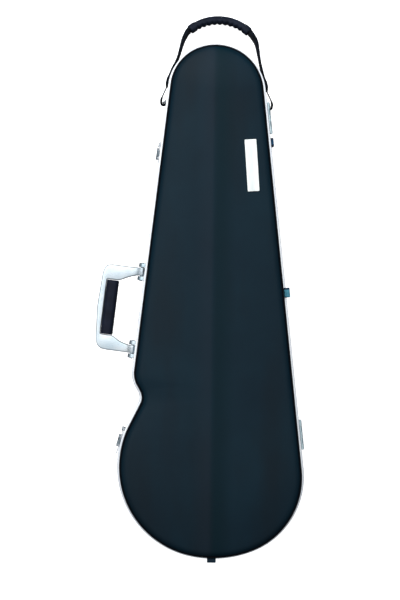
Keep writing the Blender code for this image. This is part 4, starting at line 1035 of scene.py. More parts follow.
@dataclass
class Dresser:
    """Hands finished pieces over: finish, body, slot and the CAD nodes that they stand for."""

    finishes: Finishes
    frame: dict

    def hand_over(
        self, piece: bpy.types.Object, body: Body | str, slot: Slot, *nodes: str, look: bpy.types.Material | None = None
    ) -> bpy.types.Object:
        """Dresses a piece and lets it ride.

        Args:
            piece: the finished piece.
            body: what it moves with.
            slot: the record's slot that it takes its finish from.
            nodes: CAD nodes that it stands for.
            look: a finish other than the slot's usual one.

        Returns:
            The piece.
        """
        piece.data.materials.clear()
        piece.data.materials.append(look or self.finishes.made[slot])
        body_name = body.value if isinstance(body, Body) else body
        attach(piece, body_name)
        if nodes:
            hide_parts(*nodes)
        log.info("%s rides on %s, %d faces", piece.name, body_name, len(piece.data.polygons))
        return piece

    def dress_nodes(self) -> None:
        """Gives every CAD node that still shows its slot's finish."""
        slots = {part["node"]: part["material_slot"] for part in self.frame["record"]["subparts"]}
        for name, node in self.frame["nodes"].items():
            node.data.materials.clear()
            node.data.materials.append(self.finishes.made[Slot(slots[name])])

    def node(self, name: str) -> bpy.types.Object:
        """One CAD node by name."""
        return self.frame["nodes"][name]

    def refine(
        self, name: str, body: Body | str, slot: Slot, rounding: float, look: bpy.types.Material | None = None
    ) -> bpy.types.Object:
        """Makes a copy of a CAD node with rounded edges stand for it.

        Args:
            name: the node.
            body: what it moves with.
            slot: its material slot.
            rounding: width of the edges' rounding.
            look: a finish other than the slot's usual one.

        Returns:
            The new piece.
        """
        piece = Workshop.copy_of(self.node(name), f"{name}_finished")
        Workshop.round_edges(piece, rounding)
        return self.hand_over(piece, body, slot, name, look=look)


def facing_out(wall: Matrix, along: float, height: float, out: float) -> Matrix:
    """Frame on a wall whose Z points out of it, for a rivet.

    Args:
        wall: the wall's frame.
        along: distance along the wall.
        height: distance up from the split.
        out: distance out of the wall.

    Returns:
        The frame.
    """
    turned = Matrix([wall.col[index].to_3d() for index in (1, 2, 0)]).transposed().to_4x4()
    return Matrix.Translation(wall @ Vector((out, along, height))) @ turned


@dataclass
class LidShell:
    """The lid: crowned shell with a faint crease and the bare name plate."""

    outline: CaseOutline
    dresser: Dresser
    edge_height: float = 4.3 * MM
    wall_depth: float = 45.0 * MM
    shoulder: float = 13.0 * MM
    crown: float = 166.0 * MM
    thickness: float = 2.8 * MM
    crease_rise: float = 0.8 * MM
    crease_half_width: float = 10.0 * MM
    crease_softness: float = 3.0 * MM
    shoulder_steps: int = 9
    crown_steps: int = 26
    station: float = 20.0 * MM
    plate_middle: tuple[float, float] = (55.8 * MM, 181.9 * MM)
    plate_size: tuple[float, float, float] = (15.8 * MM, 69.8 * MM, 1.2 * MM)
    plate_turn: float = math.radians(3.6)

    def brink(self, reach: float) -> tuple[float, float]:
        """Where the shoulder's arc passes into the crown, so that both have the same slope.

        Args:
            reach: distance from the wall to the spine.

        Returns:
            The angle on the shoulder's arc and the rise from there to the crown.
        """
        start = self.outline.split + self.wall_depth
        low, high = math.radians(30), math.radians(89)
        for _ in range(30):
            angle = (low + high) / 2
            rise = self.crown - start - self.shoulder * math.sin(angle)
            run = reach - self.shoulder * (1 - math.cos(angle))
            if 2 * rise / run > 1 / math.tan(angle):
                high = angle
            else:
                low = angle
        return angle, self.crown - start - self.shoulder * math.sin(angle)

    def rings(self) -> list[Ring]:
        """Rings of the outer skin from the open edge up to the spine."""
        start = self.outline.split + self.wall_depth
        skin = [self.outline.ring(0.0, self.outline.split + self.edge_height), self.outline.ring(0.0, start)]
        pairs = self.outline.points()
        brinks = [self.brink((point - self.outline.spine_point(point)).length) for point, _ in pairs]
        for step in range(1, self.shoulder_steps + 1):
            ring = []
            for (point, normal), (angle, _) in zip(pairs, brinks):
                turn = angle * step / self.shoulder_steps
                inset = self.shoulder * (1 - math.cos(turn))
                ring.append(self.outline.placed(point - normal * inset, start + self.shoulder * math.sin(turn)))
            skin.append(ring)
        last = skin[-1]
        for step in range(1, self.crown_steps + 1):
            share = 1 - (1 - step / self.crown_steps) ** 1.25
            ring = []
            for brink_point, (point, _), (_, rise) in zip(last, pairs, brinks):
                spine = self.outline.placed(self.outline.spine_station(point, self.station), 0.0)
                place = brink_point.lerp(spine, share)
                ring.append(Vector((place.x, place.y, self.crown - rise * (1 - share) ** 2)))
            skin.append(ring)
        for ring in skin[self.shoulder_steps + 2 :]:
            for point in ring:
                point.z += self.crease_lift(point)
        return skin

    def crease_lift(self, point: Vector) -> float:
        """Height of the faint crease along the middle of the crown, which fades towards both ends."""
        own = Vector((point.x, point.y)) - self.outline.shift.xy
        aside = math.hypot(own.x - self.outline.spine_point(own).x, self.crease_softness)
        past = max(0.0, own.y - 200 * MM, -180 * MM - own.y) / (90 * MM)
        return self.crease_rise * math.exp(-aside / self.crease_half_width) * math.exp(-past * past)

    def build(self) -> None:
        """Builds the shell and the plate."""
        shell = Workshop.grow("lid_skin", self.rings(), capped=(False, False))
        with Workshop.editing(shell):
            bpy.ops.mesh.select_all(action="SELECT")
            bpy.ops.mesh.remove_doubles(threshold=0.01 * MM)
            bpy.ops.mesh.normals_make_consistent(inside=False)
        Workshop.smooth(shell, 60.0)
        surface = BVHTree.FromObject(shell, bpy.context.evaluated_depsgraph_get())
        Workshop.modify(shell, "SOLIDIFY", thickness=self.thickness, offset=-1.0)
        self.dresser.hand_over(shell, Body.LID, Slot.SHELL, "lid_shell")
        self.build_plate(surface)

    def build_plate(self, surface: BVHTree) -> None:
        """Builds the bare plate and lays it on the crown.

        Args:
            surface: the crown's surface.
        """
        width, length, thickness = self.plate_size
        Workshop.let_go()
        bpy.ops.mesh.primitive_plane_add(size=1.0)
        plate = bpy.context.active_object
        plate.name = "bare_name_plate"
        plate.scale = (width, length, 1.0)
        Workshop.settle(plate)
        with Workshop.editing(plate):
            bpy.ops.mesh.select_all(action="SELECT")
            bpy.ops.mesh.bevel(offset=1.3 * MM, segments=4, affect="VERTICES")
            bpy.ops.mesh.select_all(action="SELECT")
            bpy.ops.mesh.extrude_region_move(TRANSFORM_OT_translate={"value": (0, 0, thickness)})
            bpy.ops.mesh.select_all(action="SELECT")
            bpy.ops.mesh.normals_make_consistent(inside=False)
        Workshop.round_edges(plate, 0.35 * MM, 3)
        with Workshop.editing(plate):
            for cut in range(1, 14):
                bpy.ops.mesh.select_all(action="SELECT")
                bpy.ops.mesh.bisect(plane_co=(0, length * (cut / 14 - 0.5), 0), plane_no=(0, 1, 0))
            for cut in range(1, 5):
                bpy.ops.mesh.select_all(action="SELECT")
                bpy.ops.mesh.bisect(plane_co=(width * (cut / 5 - 0.5), 0, 0), plane_no=(1, 0, 0))
        turn = Matrix.Rotation(self.plate_turn, 2)
        middle = Vector(self.plate_middle) + self.outline.shift.xy
        for vert in plate.data.vertices:
            flat = turn @ vert.co.xy + middle
            hit = surface.ray_cast(Vector((flat.x, flat.y, 1.0)), Vector((0, 0, -1)))[0]
            vert.co = Vector((flat.x, flat.y, hit.z + vert.co.z + 0.05 * MM))
        self.dresser.hand_over(plate, Body.LID, Slot.PLATE, "name_plate")


@dataclass
class BaseShell:
    """The base: a deep shell with a rounded lower edge and a flat back."""

    outline: CaseOutline
    dresser: Dresser
    edge_drop: float = 4.3 * MM
    back_height: float = 6.0 * MM
    corner: float = 20.0 * MM
    thickness: float = 2.8 * MM
    corner_steps: int = 10

    def build(self) -> None:
        """Builds the shell."""
        rings = [self.outline.ring(0.0, self.outline.split - self.edge_drop)]
        middle = self.back_height + self.corner
        for step in range(self.corner_steps + 1):
            turn = math.radians(90 * step / self.corner_steps)
            inset = self.corner * (1 - math.cos(turn))
            rings.append(self.outline.ring(-inset, middle - self.corner * math.sin(turn)))
        pairs = self.outline.points(-self.corner)
        for share in (0.3, 0.6, 0.9, 0.995):
            ring = []
            for point, _ in pairs:
                place = point.lerp(self.outline.spine_point(point), share)
                ring.append(self.outline.placed(place, self.back_height))
            rings.append(ring)
        shell = Workshop.grow("base_skin", rings, capped=(False, True))
        Workshop.smooth(shell, 60.0)
        Workshop.modify(shell, "SOLIDIFY", thickness=self.thickness, offset=-1.0)
        self.dresser.hand_over(shell, Body.BASE, Slot.SHELL, "base_shell")


@dataclass
class Rims:
    """Extruded aluminium rim halves with a fine groove, and the seal bead between them."""

    outline: CaseOutline
    dresser: Dresser
    proud: float = 3.5 * MM
    height: float = 11.0 * MM
    web: float = 4.0 * MM
    leg: float = 5.1 * MM
    leg_height: float = 8.0 * MM
    groove_from: float = 4.4 * MM
    groove_to: float = 6.2 * MM
    groove_depth: float = 0.35 * MM
    fall: float = 0.4 * MM

    def section(self, with_seal: bool) -> Plan:
        """Section of a rim half as distance out and height from the split.

        Args:
            with_seal: whether it has the step that holds the seal.

        Returns:
            The rounded section.
        """
        out, face = self.proud, 0.15 * MM
        corners = [
            (out, face, 0.4 * MM),
            (out, self.groove_from, 0.15 * MM),
            (out - self.groove_depth, self.groove_from + 0.3 * MM, 0.15 * MM),
            (out - self.groove_depth, self.groove_to - 0.3 * MM, 0.15 * MM),
            (out, self.groove_to, 0.15 * MM),
            (out, self.height - self.fall, 0.6 * MM),
            (0.25 * MM, self.height, 0.4 * MM),
            (0.25 * MM, self.web, 0.1 * MM),
            (-3.2 * MM, self.web, 0.1 * MM),
            (-3.2 * MM, self.leg_height, 0.2 * MM),
            (-self.leg, self.leg_height, 0.4 * MM),
        ]
        if with_seal:
            corners += [(-self.leg, 2.7 * MM, 0.1 * MM), (-1.8 * MM, 2.7 * MM, 0.1 * MM), (-1.8 * MM, face, 0.2 * MM)]
        else:
            corners += [(-self.leg, face, 0.3 * MM)]
        return softened(corners, 3)

    def build(self) -> None:
        """Builds both halves and the seal."""
        for name, body, up, seal in (("lid_rim", Body.LID, 1, False), ("base_rim", Body.BASE, -1, True)):
            rings = [self.outline.ring(out, self.outline.split + up * z) for out, z in self.section(seal)]
            rim = Workshop.grow(f"{name}_extrusion", rings, looped=True)
            Workshop.smooth(rim, 40.0)
            self.dresser.hand_over(rim, body, Slot.ALUMINIUM, name)
        top, bottom = -0.15 * MM, -2.35 * MM
        bead = softened([(-5.1 * MM, top, 0.9 * MM), (-2.1 * MM, top, 0.9 * MM), (-2.1 * MM, bottom, 0.3 * MM),
                         (-5.1 * MM, bottom, 0.3 * MM)], 4)
        seal = Workshop.grow("seal_bead", [self.outline.ring(x, self.outline.split + z) for x, z in bead], looped=True)
        Workshop.smooth(seal, 60.0)
        self.dresser.hand_over(seal, Body.BASE, Slot.RUBBER, "rim_seal")


@dataclass
class SideHandle:
    """Cast frame, leather grip with its stitching, and the two brackets with their pins."""

    outline: CaseOutline
    dresser: Dresser
    middle_y: float = -14.0 * MM
    drop: float = 21.0 * MM
    pin_out: float = 7.5 * MM
    tongue_radius: float = 4.9 * MM
    half_thickness: float = 5.8 * MM
    rounding: float = 1.9 * MM
    # inner and outer edge of the casting as distance out and along, from the upper pin round to the lower one
    ladder: tuple[tuple[float, float, float, float], ...] = (
        (2.75, -47.4, 2.75, -59.0),
        (7.5, -47.4, 7.5, -59.0),
        (13.0, -47.5, 13.0, -58.5),
        (24.7, -43.6, 25.5, -58.2),
        (35.6, -38.3, 37.5, -58.3),
        (44.0, -37.7, 45.5, -58.4),
        (51.0, -37.6, 51.5, -57.8),
        (52.9, -37.2, 56.2, -55.6),
        (53.3, -36.2, 58.9, -50.5),
        (53.4, -33.5, 60.2, -43.0),
        (53.4, -20.0, 61.1, -22.0),
        (53.4, 0.0, 62.0, 1.0),
        (53.4, 20.0, 60.4, 22.0),
        (53.4, 33.5, 58.8, 41.0),
        (53.3, 36.2, 57.5, 48.5),
        (52.9, 37.2, 55.0, 53.7),
        (51.0, 37.6, 50.3, 57.0),
        (44.0, 37.7, 43.5, 58.1),
        (36.0, 38.3, 35.0, 58.2),
        (25.0, 44.4, 25.0, 58.3),
        (13.0, 47.6, 13.0, 58.4),
        (7.5, 47.4, 7.5, 59.0),
        (2.75, 47.4, 2.75, 59.0),
    )
    grip_middle: float = 44.95 * MM
    grip_half_width: float = 8.2 * MM
    grip_half_depth: float = 8.0 * MM
    grip_half_length: float = 37.2 * MM
    stitch_pitch: float = 3.6 * MM

    def thickness_at(self, out: float) -> float:
        """Half thickness of the casting at a distance out of the wall: round the pins, then swelling."""
        if out < self.pin_out:
            return math.sqrt(max(1.2 * MM * MM, self.tongue_radius**2 - (self.pin_out - out) ** 2))
        share = min(1.0, (out - self.pin_out) / (9 * MM))
        return self.tongue_radius + (self.half_thickness - self.tongue_radius) * share * share * (3 - 2 * share)

    def build(self) -> None:
        """Builds all pieces of the handle."""
        seat = self.outline.wall(self.middle_y, left=True) @ Matrix.Translation((0, 0, -self.drop))
        rings = []
        for u0, t0, u1, t1 in glide(self.ladder, 4):
            inner, outer = Vector((u0, t0, 0)) * MM, Vector((u1, t1, 0)) * MM
            half = self.thickness_at((inner.x + outer.x) / 2)
            length = (outer - inner).length
            corner = min(self.rounding, half * 0.7)
            aside = (outer - inner).normalized()
            section = softened([(0, -half, corner), (length, -half, corner), (length, half, corner), (0, half, corner)], 4)
            rings.append([seat @ (inner + aside * a + Vector((0, 0, z))) for a, z in section])
        casting = Workshop.grow("handle_casting", rings)
        Workshop.smooth(casting, 50.0)
        cast = CastAluminium("cast_bright_aluminium", "d8e6ee", "f6fbfd", 0.17, 0.27).build()
        # painted shade: the brackets take a darker copy of the frame's cast aluminium
        shaded_clevis = CastAluminium("shaded_clevis_aluminium", "c2d6df", "e4eef3", 0.17, 0.27).build()
        self.dresser.hand_over(casting, Body.HANDLE, Slot.ALUMINIUM, "handle_frame", look=cast)
        self.build_grip(seat)
        for side in ("upper", "lower"):
            self.dresser.refine(f"handle_bracket_{side}", Body.BASE, Slot.ALUMINIUM, 0.9 * MM, look=shaded_clevis)
            self.dresser.refine(f"handle_pin_{side}", Body.BASE, Slot.STEEL, 0.3 * MM)

    def build_grip(self, seat: Matrix) -> None:
        """Builds the leather grip and its row of stitches.

        Args:
            seat: the handle's frame on the wall.
        """
        rings = []
        stations = 56
        for step in range(stations + 1):
            share = step / stations
            along = self.grip_half_length * (2 * share - 1)
            from_end = min(share, 1 - share) * 2 * self.grip_half_length
            tuck = 1.0 - 0.05 * math.exp(-from_end / (0.5 * MM))
            belly = 1.0 + 0.02 * math.cos(math.pi * (share - 0.5))
            ring = []
            for number in range(40):
                angle = 2 * math.pi * number / 40
                c, s = math.cos(angle), math.sin(angle)
                fat = (abs(c) ** 3.0 + abs(s) ** 3.0) ** (-1 / 3.0)
                seam = 1.0 - 0.035 * math.exp(-(((angle - math.pi) / 0.06) ** 2))
                a = self.grip_half_width * c * fat * tuck * belly * seam
                z = self.grip_half_depth * s * fat * tuck * belly * seam
                ring.append(seat @ Vector((self.grip_middle + a, along, z)))
            rings.append(ring)
        grip = Workshop.grow("leather_grip", rings)
        Workshop.smooth(grip, 60.0)
        self.dresser.hand_over(grip, Body.HANDLE, Slot.LEATHER, "handle_grip")
        Workshop.let_go()
        bpy.ops.mesh.primitive_uv_sphere_add(segments=8, ring_count=6, radius=0.38 * MM)
        stitch = bpy.context.active_object
        stitch.scale = (1.0, 3.2, 1.0)
        Workshop.settle(stitch)
        Workshop.smooth(stitch, 80.0)
        count = int(2 * (self.grip_half_length - 3 * MM) / self.stitch_pitch)
        inner = self.grip_middle - self.grip_half_width * 1.0
        places = []
        for number in range(count + 1):
            along = (number - count / 2) * self.stitch_pitch
            for up in (-1.3 * MM, 1.3 * MM):
                places.append(seat @ Matrix.Translation((inner - 0.05 * MM, along, up)))
        stitches = Workshop.repeat(stitch, places, "grip_stitches")
        self.dresser.hand_over(stitches, Body.HANDLE, Slot.WEBBING)


@dataclass
class DrawLatch:
    """One draw latch: rounded copies of its parts with rivet heads, a bright lever and a lock barrel."""

    outline: CaseOutline
    dresser: Dresser
    plated: bpy.types.Material
    tempered: bpy.types.Material
    name: str
    place_y: float
    plate_width: float
    plate_face: float = 1.8 * MM
    rivet_radius: float = 1.3 * MM
    lock_inset: float = 3.8 * MM
    lock_height: float = -24.0 * MM
    lock_proud: float = 6.8 * MM

    def build(self) -> None:
        """Builds the latch's pieces."""
        wall = self.outline.wall(self.place_y, left=True)
        refine = self.dresser.refine
        refine(f"{self.name}_base", Body.BASE, Slot.STEEL, 0.3 * MM)
        refine(f"{self.name}_keeper", Body.LID, Slot.ALUMINIUM, 0.3 * MM)
        refine(f"{self.name}_lever", f"{self.name}_lever", Slot.ALUMINIUM, 0.6 * MM, look=self.plated)
        refine(f"{self.name}_claw_pin", f"{self.name}_lever", Slot.STEEL, 0.2 * MM)
        refine(f"{self.name}_claw", f"{self.name}_claw", Slot.DARK_STEEL, 0.25 * MM, look=self.tempered)
        half = self.plate_width / 2 - 2.6 * MM
        spots = [facing_out(wall, half, height, self.plate_face) for height in (-15.5 * MM, -46.5 * MM)]
        spots.append(facing_out(wall, -half, -46.5 * MM, self.plate_face))
        rivets = Workshop.repeat(Workshop.rivet(self.rivet_radius, 0.7 * MM), spots, f"{self.name}_rivets")
        self.dresser.hand_over(rivets, Body.BASE, Slot.STEEL)
        Workshop.let_go()
        bpy.ops.mesh.primitive_cube_add(size=1.0)
        keyhole = bpy.context.active_object
        keyhole.scale = (0.7 * MM, 3.0 * MM, 0.16 * MM)
        Workshop.settle(keyhole)
        Workshop.round_edges(keyhole, 0.1 * MM)
        spot = facing_out(wall, self.lock_inset - self.plate_width / 2, self.lock_height, self.lock_proud)
        keyhole = Workshop.repeat(keyhole, [spot], f"{self.name}_keyhole")
        self.dresser.hand_over(keyhole, Body.BASE, Slot.DARK_STEEL)


@dataclass
class ButtHinge:
    """One hinge: rounded copies of its leaves and pin, with rivet heads along both leaves."""

    outline: CaseOutline
    dresser: Dresser
    pressed: bpy.types.Material
    name: str
    place_y: float
    length: float
    leaf_face: float = 5.0 * MM
    rivet_height: float = 8.3 * MM

    def build(self) -> None:
        """Builds the hinge's pieces."""
        wall = self.outline.wall(self.place_y, left=False)
        self.dresser.refine(f"{self.name}_base_leaf", Body.BASE, Slot.STEEL, 0.25 * MM, look=self.pressed)
        self.dresser.refine(f"{self.name}_lid_leaf", Body.LID, Slot.STEEL, 0.25 * MM, look=self.pressed)
        self.dresser.refine(f"{self.name}_pin", Body.BASE, Slot.STEEL, 0.3 * MM, look=self.pressed)
        for body, up in ((Body.BASE, -1), (Body.LID, 1)):
            spots = [
                facing_out(wall, along * self.length, up * self.rivet_height, self.leaf_face)
                for along in (-0.38, 0.0, 0.38)
            ]
            rivets = Workshop.repeat(Workshop.rivet(1.25 * MM, 0.5 * MM), spots, f"{self.name}_{body.value}_rivets")
            self.dresser.hand_over(rivets, body, Slot.STEEL, look=self.pressed)


@dataclass
class CarryStrap:
    """The carrying strap: ridged grip, woven legs, wire hooks, and the eyes and lugs that hold them."""

    outline: CaseOutline
    dresser: Dresser
    eye_left_y: float = 270.4 * MM
    eye_right_y: float = 264.9 * MM
    eye_height: float = 52.0 * MM
    eye_bar_out: float = 7.6 * MM
    eye_bar_radius: float = 1.1 * MM
    rest_height: float = 7.9 * MM
    arc_radius: float = 58.7 * MM
    arc_middle: tuple[float, float] = (0.3 * MM, 69.7 * MM)
    half_angle: float = 44.5
    grip_half_depth: float = 6.6 * MM
    grip_half_thickness: float = 5.1 * MM
    ridge: float = 1.9 * MM
    ridges: int = 9
    cuff_share: float = 0.12
    cuff_swell: float = 0.9 * MM
    webbing_width: float = 15.0 * MM
    # thickness of a leg along its way: doubled and stitched at both ends, single between
    webbing: tuple[tuple[float, float], ...] = (
        (0.0, 5.4), (0.1, 5.3), (0.3, 4.2), (0.5, 2.9), (0.8, 2.8), (0.85, 3.4), (0.89, 5.2), (0.98, 5.0), (1.0, 4.0)
    )
    left_leg: Plan = field(
        default_factory=lambda: [(-49.0, 96.8), (-52.0, 84.3), (-54.7, 72.1), (-57.9, 61.3), (-63.8, 47.5), (-68.9, 27.0)]
    )
    right_leg: Plan = field(
        default_factory=lambda: [(51.4, 97.0), (54.9, 81.5), (58.1, 64.0), (62.5, 47.0), (68.0, 26.0)]
    )
    wire_radius: float = 0.85 * MM
    curl_radius: float = 1.6 * MM
    hook_play: float = 0.25 * MM
    gap: float = 0.3 * MM

    def plane(self) -> tuple[Matrix, float]:
        """The strap's plane.

        Returns:
            Its frame, with X between the eyes and Y towards the grip, and half the distance between the eyes.
        """
        ends = []
        for y, left in ((self.eye_left_y, True), (self.eye_right_y, False)):
            ends.append(self.outline.wall(y, left) @ Vector((self.eye_bar_out, 0, self.eye_height - self.outline.split)))
        along = (ends[1] - ends[0]).normalized()
        level = Vector((0, 0, 1)).cross(along)
        tilt = math.asin((self.eye_height - self.rest_height) / (self.arc_middle[1] + self.arc_radius))
        forward = level * math.cos(tilt) - Vector((0, 0, 1)) * math.sin(tilt)
        turned = Matrix((along, forward, along.cross(forward))).transposed().to_4x4()
        return Matrix.Translation((ends[0] + ends[1]) / 2) @ turned, (ends[1] - ends[0]).length / 2

    def grip_section(self, share: float) -> Plan:
        """Section of the grip: a rounded block with finger ridges inside and a cuff at each end."""
        between = (share - self.cuff_share) / (1 - 2 * self.cuff_share)
        wave = 0.5 - 0.5 * math.cos(2 * math.pi * self.ridges * max(0.0, min(1.0, between)))
        edge = min(share, 1 - share)
        cuff = 1 / (1 + math.exp((edge - self.cuff_share + 0.008) / 0.003))
        tuck = 1 - 0.3 * math.exp(-edge / 0.006)
        inner = self.grip_half_thickness + self.cuff_swell * cuff + self.ridge * (wave**0.7 - 0.5) * (1 - cuff)
        outer = self.grip_half_thickness + self.cuff_swell * cuff + 0.12 * MM * wave * (1 - cuff)
        points = []
        for number in range(28):
            angle = 2 * math.pi * number / 28
            c, s = math.cos(angle), math.sin(angle)
            fat = (abs(c) ** 2.7 + abs(s) ** 2.7) ** (-1 / 2.7) * tuck
            points.append((c * fat * (outer if c > 0 else inner), s * fat * self.grip_half_depth))
        return points

    def webbing_section(self, share: float) -> Plan:
        """Flat section of a leg with softly rounded edges."""
        for (start, thick), (end, following) in zip(self.webbing, self.webbing[1:]):
            if share <= end:
                break
        half = (thick + (following - thick) * (share - start) / (end - start)) / 2 * MM
        painted_crest_shade = self.webbing_width / 2
        return softened([(-half, -painted_crest_shade, 1.3 * MM), (half, -painted_crest_shade, 1.3 * MM), (half, painted_crest_shade, 1.3 * MM),
                         (-half, painted_crest_shade, 1.3 * MM)], 3)

    def wire_section(self, share: float) -> Plan:
        """Round section of a hook's wire, thicker in its curl."""
        grown = max(0.0, min(1.0, (share - 0.4) / 0.15))
        radius = self.wire_radius + (self.curl_radius - self.wire_radius) * grown * grown * (3 - 2 * grown)
        return [(radius * math.cos(math.tau * k / 14), radius * math.sin(math.tau * k / 14)) for k in range(14)]

    def build(self) -> None:
        """Builds the strap's pieces."""
        plane, half_span = self.plane()
        up = plane.col[2].to_3d().normalized()
        flat = arc(self.arc_middle, self.arc_radius, 90 + self.half_angle, 90 - self.half_angle, 180)
        path = [plane @ Vector((x, y, 0)) for x, y in flat]
        grip = Workshop.sweep("ridged_strap_grip", path, self.grip_section, up)
        Workshop.smooth(grip, 60.0)
        self.dresser.hand_over(grip, Body.STRAP, Slot.PLASTIC, "strap_grip")
        steps = 180 // 54
        self.build_leg("left", -1, self.left_leg, path[0], path[steps], plane, half_span)
        self.build_leg("right", 1, self.right_leg, path[-1], path[-1 - steps], plane, half_span)

    def build_leg(
        self, label: str, side: int, leg: Plan, end: Vector, following: Vector, plane: Matrix, half_span: float
    ) -> None:
        """Builds one leg with its hook, eye and lug.

        Args:
            label: left or right.
            side: -1 or 1, towards which it lies.
            leg: the leg's points in the strap's plane, in millimetres.
            end: the grip's end.
            following: a point on the grip just before its end.
            plane: the strap's frame.
            half_span: half the distance between the eyes.
        """
        up = plane.col[2].to_3d().normalized()
        outward = (end - following).normalized()
        start = end + outward * self.gap
        knots = [start, start + outward * 4 * MM, *[plane @ (Vector((x, y, 0)) * MM) for x, y in leg]]
        path = [Vector(row) for row in glide([tuple(knot) for knot in knots], 8)]
        webbing = Workshop.sweep(f"woven_leg_{label}", path, self.webbing_section, up)
        Workshop.smooth(webbing, 50.0)
        self.dresser.hand_over(webbing, Body.STRAP, Slot.WEBBING, f"strap_webbing_{label}")
        self.stitch(path, up, label)
        turn = self.eye_bar_radius + self.hook_play + self.curl_radius
        run = (path[-1] - path[-2]).normalized()
        inverse = plane.inverted()
        begin = inverse @ (path[-1] + run * self.gap)
        lead = inverse @ (path[-1] + run * 3.3 * MM)
        bend = [(begin.x, begin.y), (lead.x, lead.y), (side * (half_span + turn), 7.0 * MM)]
        bend += [(side * x, y) for x, y in arc((half_span, 0.0), turn, 0, -180, 10)]
        bend.append((side * (half_span - turn), 4.2 * MM))
        wire_path = [plane @ Vector((x, y, 0)) for x, y in glide(bend, 5)]
        hook = Workshop.sweep(f"wire_hook_{label}", wire_path, self.wire_section, up)
        Workshop.smooth(hook, 60.0)
        self.dresser.hand_over(hook, Body.STRAP, Slot.DARK_STEEL, f"strap_hook_{label}")
        self.dresser.refine(f"strap_eye_{label}", Body.STRAP, Slot.STEEL, 0.2 * MM)
        self.dresser.refine(f"strap_lug_{label}", Body.BASE, Slot.STEEL, 0.5 * MM)

    def stitch(self, path: Sequence[Vector], up: Vector, label: str) -> None:
        """Sews a box of thread through the doubled end of a leg, on both faces.

        Args:
            path: the leg's middle line, from the grip to the hook.
            up: the direction across the webbing.
            label: left or right.
        """
        Workshop.let_go()
        bpy.ops.mesh.primitive_uv_sphere_add(segments=8, ring_count=6, radius=0.28 * MM)
        stitch = bpy.context.active_object
        stitch.scale = (0.8, 3.0, 1.0)
        Workshop.settle(stitch)
        Workshop.smooth(stitch, 80.0)
        lengths = [0.0]
        for a, b in zip(path, path[1:]):
            lengths.append(lengths[-1] + (b - a).length)
        total, places = lengths[-1], []
        rows = [(total - back * MM, across * MM, True) for back in (2.0, 9.0) for across in range(-5, 6, 2)]
        rows += [(total - back * MM, across * MM, False) for back in (3.4, 5.5, 7.6) for across in (-5.8, 5.8)]
        for at, across, turned in rows:
            index = next(k for k, length in enumerate(lengths) if length >= at)
            run = (path[index] - path[index - 1]).normalized()
            aside = up.cross(run).normalized()
            half = max(a for a, _ in self.webbing_section(at / total))
            along = up if turned else run
            spot = path[index] + run * (at - lengths[index]) + up * across
            for face in (-1, 1):
                turn = Matrix((aside, along, aside.cross(along))).transposed().to_4x4()
                places.append(Matrix.Translation(spot + aside * face * half) @ turn)
        thread = Workshop.repeat(stitch, places, f"leg_stitches_{label}")
        self.dresser.hand_over(thread, Body.STRAP, Slot.WEBBING)


@dataclass
class RubberFeet:
    """Feet on the back, bumpers on the hinge side and at the wide end, two of them in halves."""

    dresser: Dresser

    def build(self) -> None:
        """Builds every foot and bumper."""
        for end in ("narrow", "wide"):
            for side in ("left", "right"):
                self.dresser.refine(f"back_foot_{end}_{side}", Body.BASE, Slot.RUBBER, 0.8 * MM)
        blue, teal, navy = ("123e5e", "1f587f"), ("3d7689", "4d94a6"), ("0f2636", "163344")
        for name, body, rubber_colour, low_shaded_end, high_shaded_end in (
            ("side_bumper_upper", Body.BASE, blue, 3.0, 3.0),
            ("side_bumper_middle", Body.BASE, teal, 1.2, 2.9),
            ("lid_side_bumper", Body.LID, teal, 1.2, 2.9),
            ("end_foot", Body.BASE, navy, 0.0, 0.0),
            ("lid_end_foot", Body.LID, navy, 0.0, 0.0),
        ):
            # each bumper's two ends get painted shade, over the lengths given for its low and high end
            reach = [corner[1] for corner in self.dresser.node(name).bound_box]
            low, high = min(reach) + low_shaded_end * MM, max(reach) - high_shaded_end * MM
            shaded_ends = ((low + 0.4 * MM, low - 0.4 * MM), (high - 0.4 * MM, high + 0.4 * MM)) if high_shaded_end else ()
            look = MouldedRubber(f"moulded_{name}_rubber", *rubber_colour, 0.55, gloss=0.25, shaded_ends=shaded_ends).build()
            self.dresser.refine(name, body, Slot.BLUE_RUBBER, 1.7 * MM, look=look)


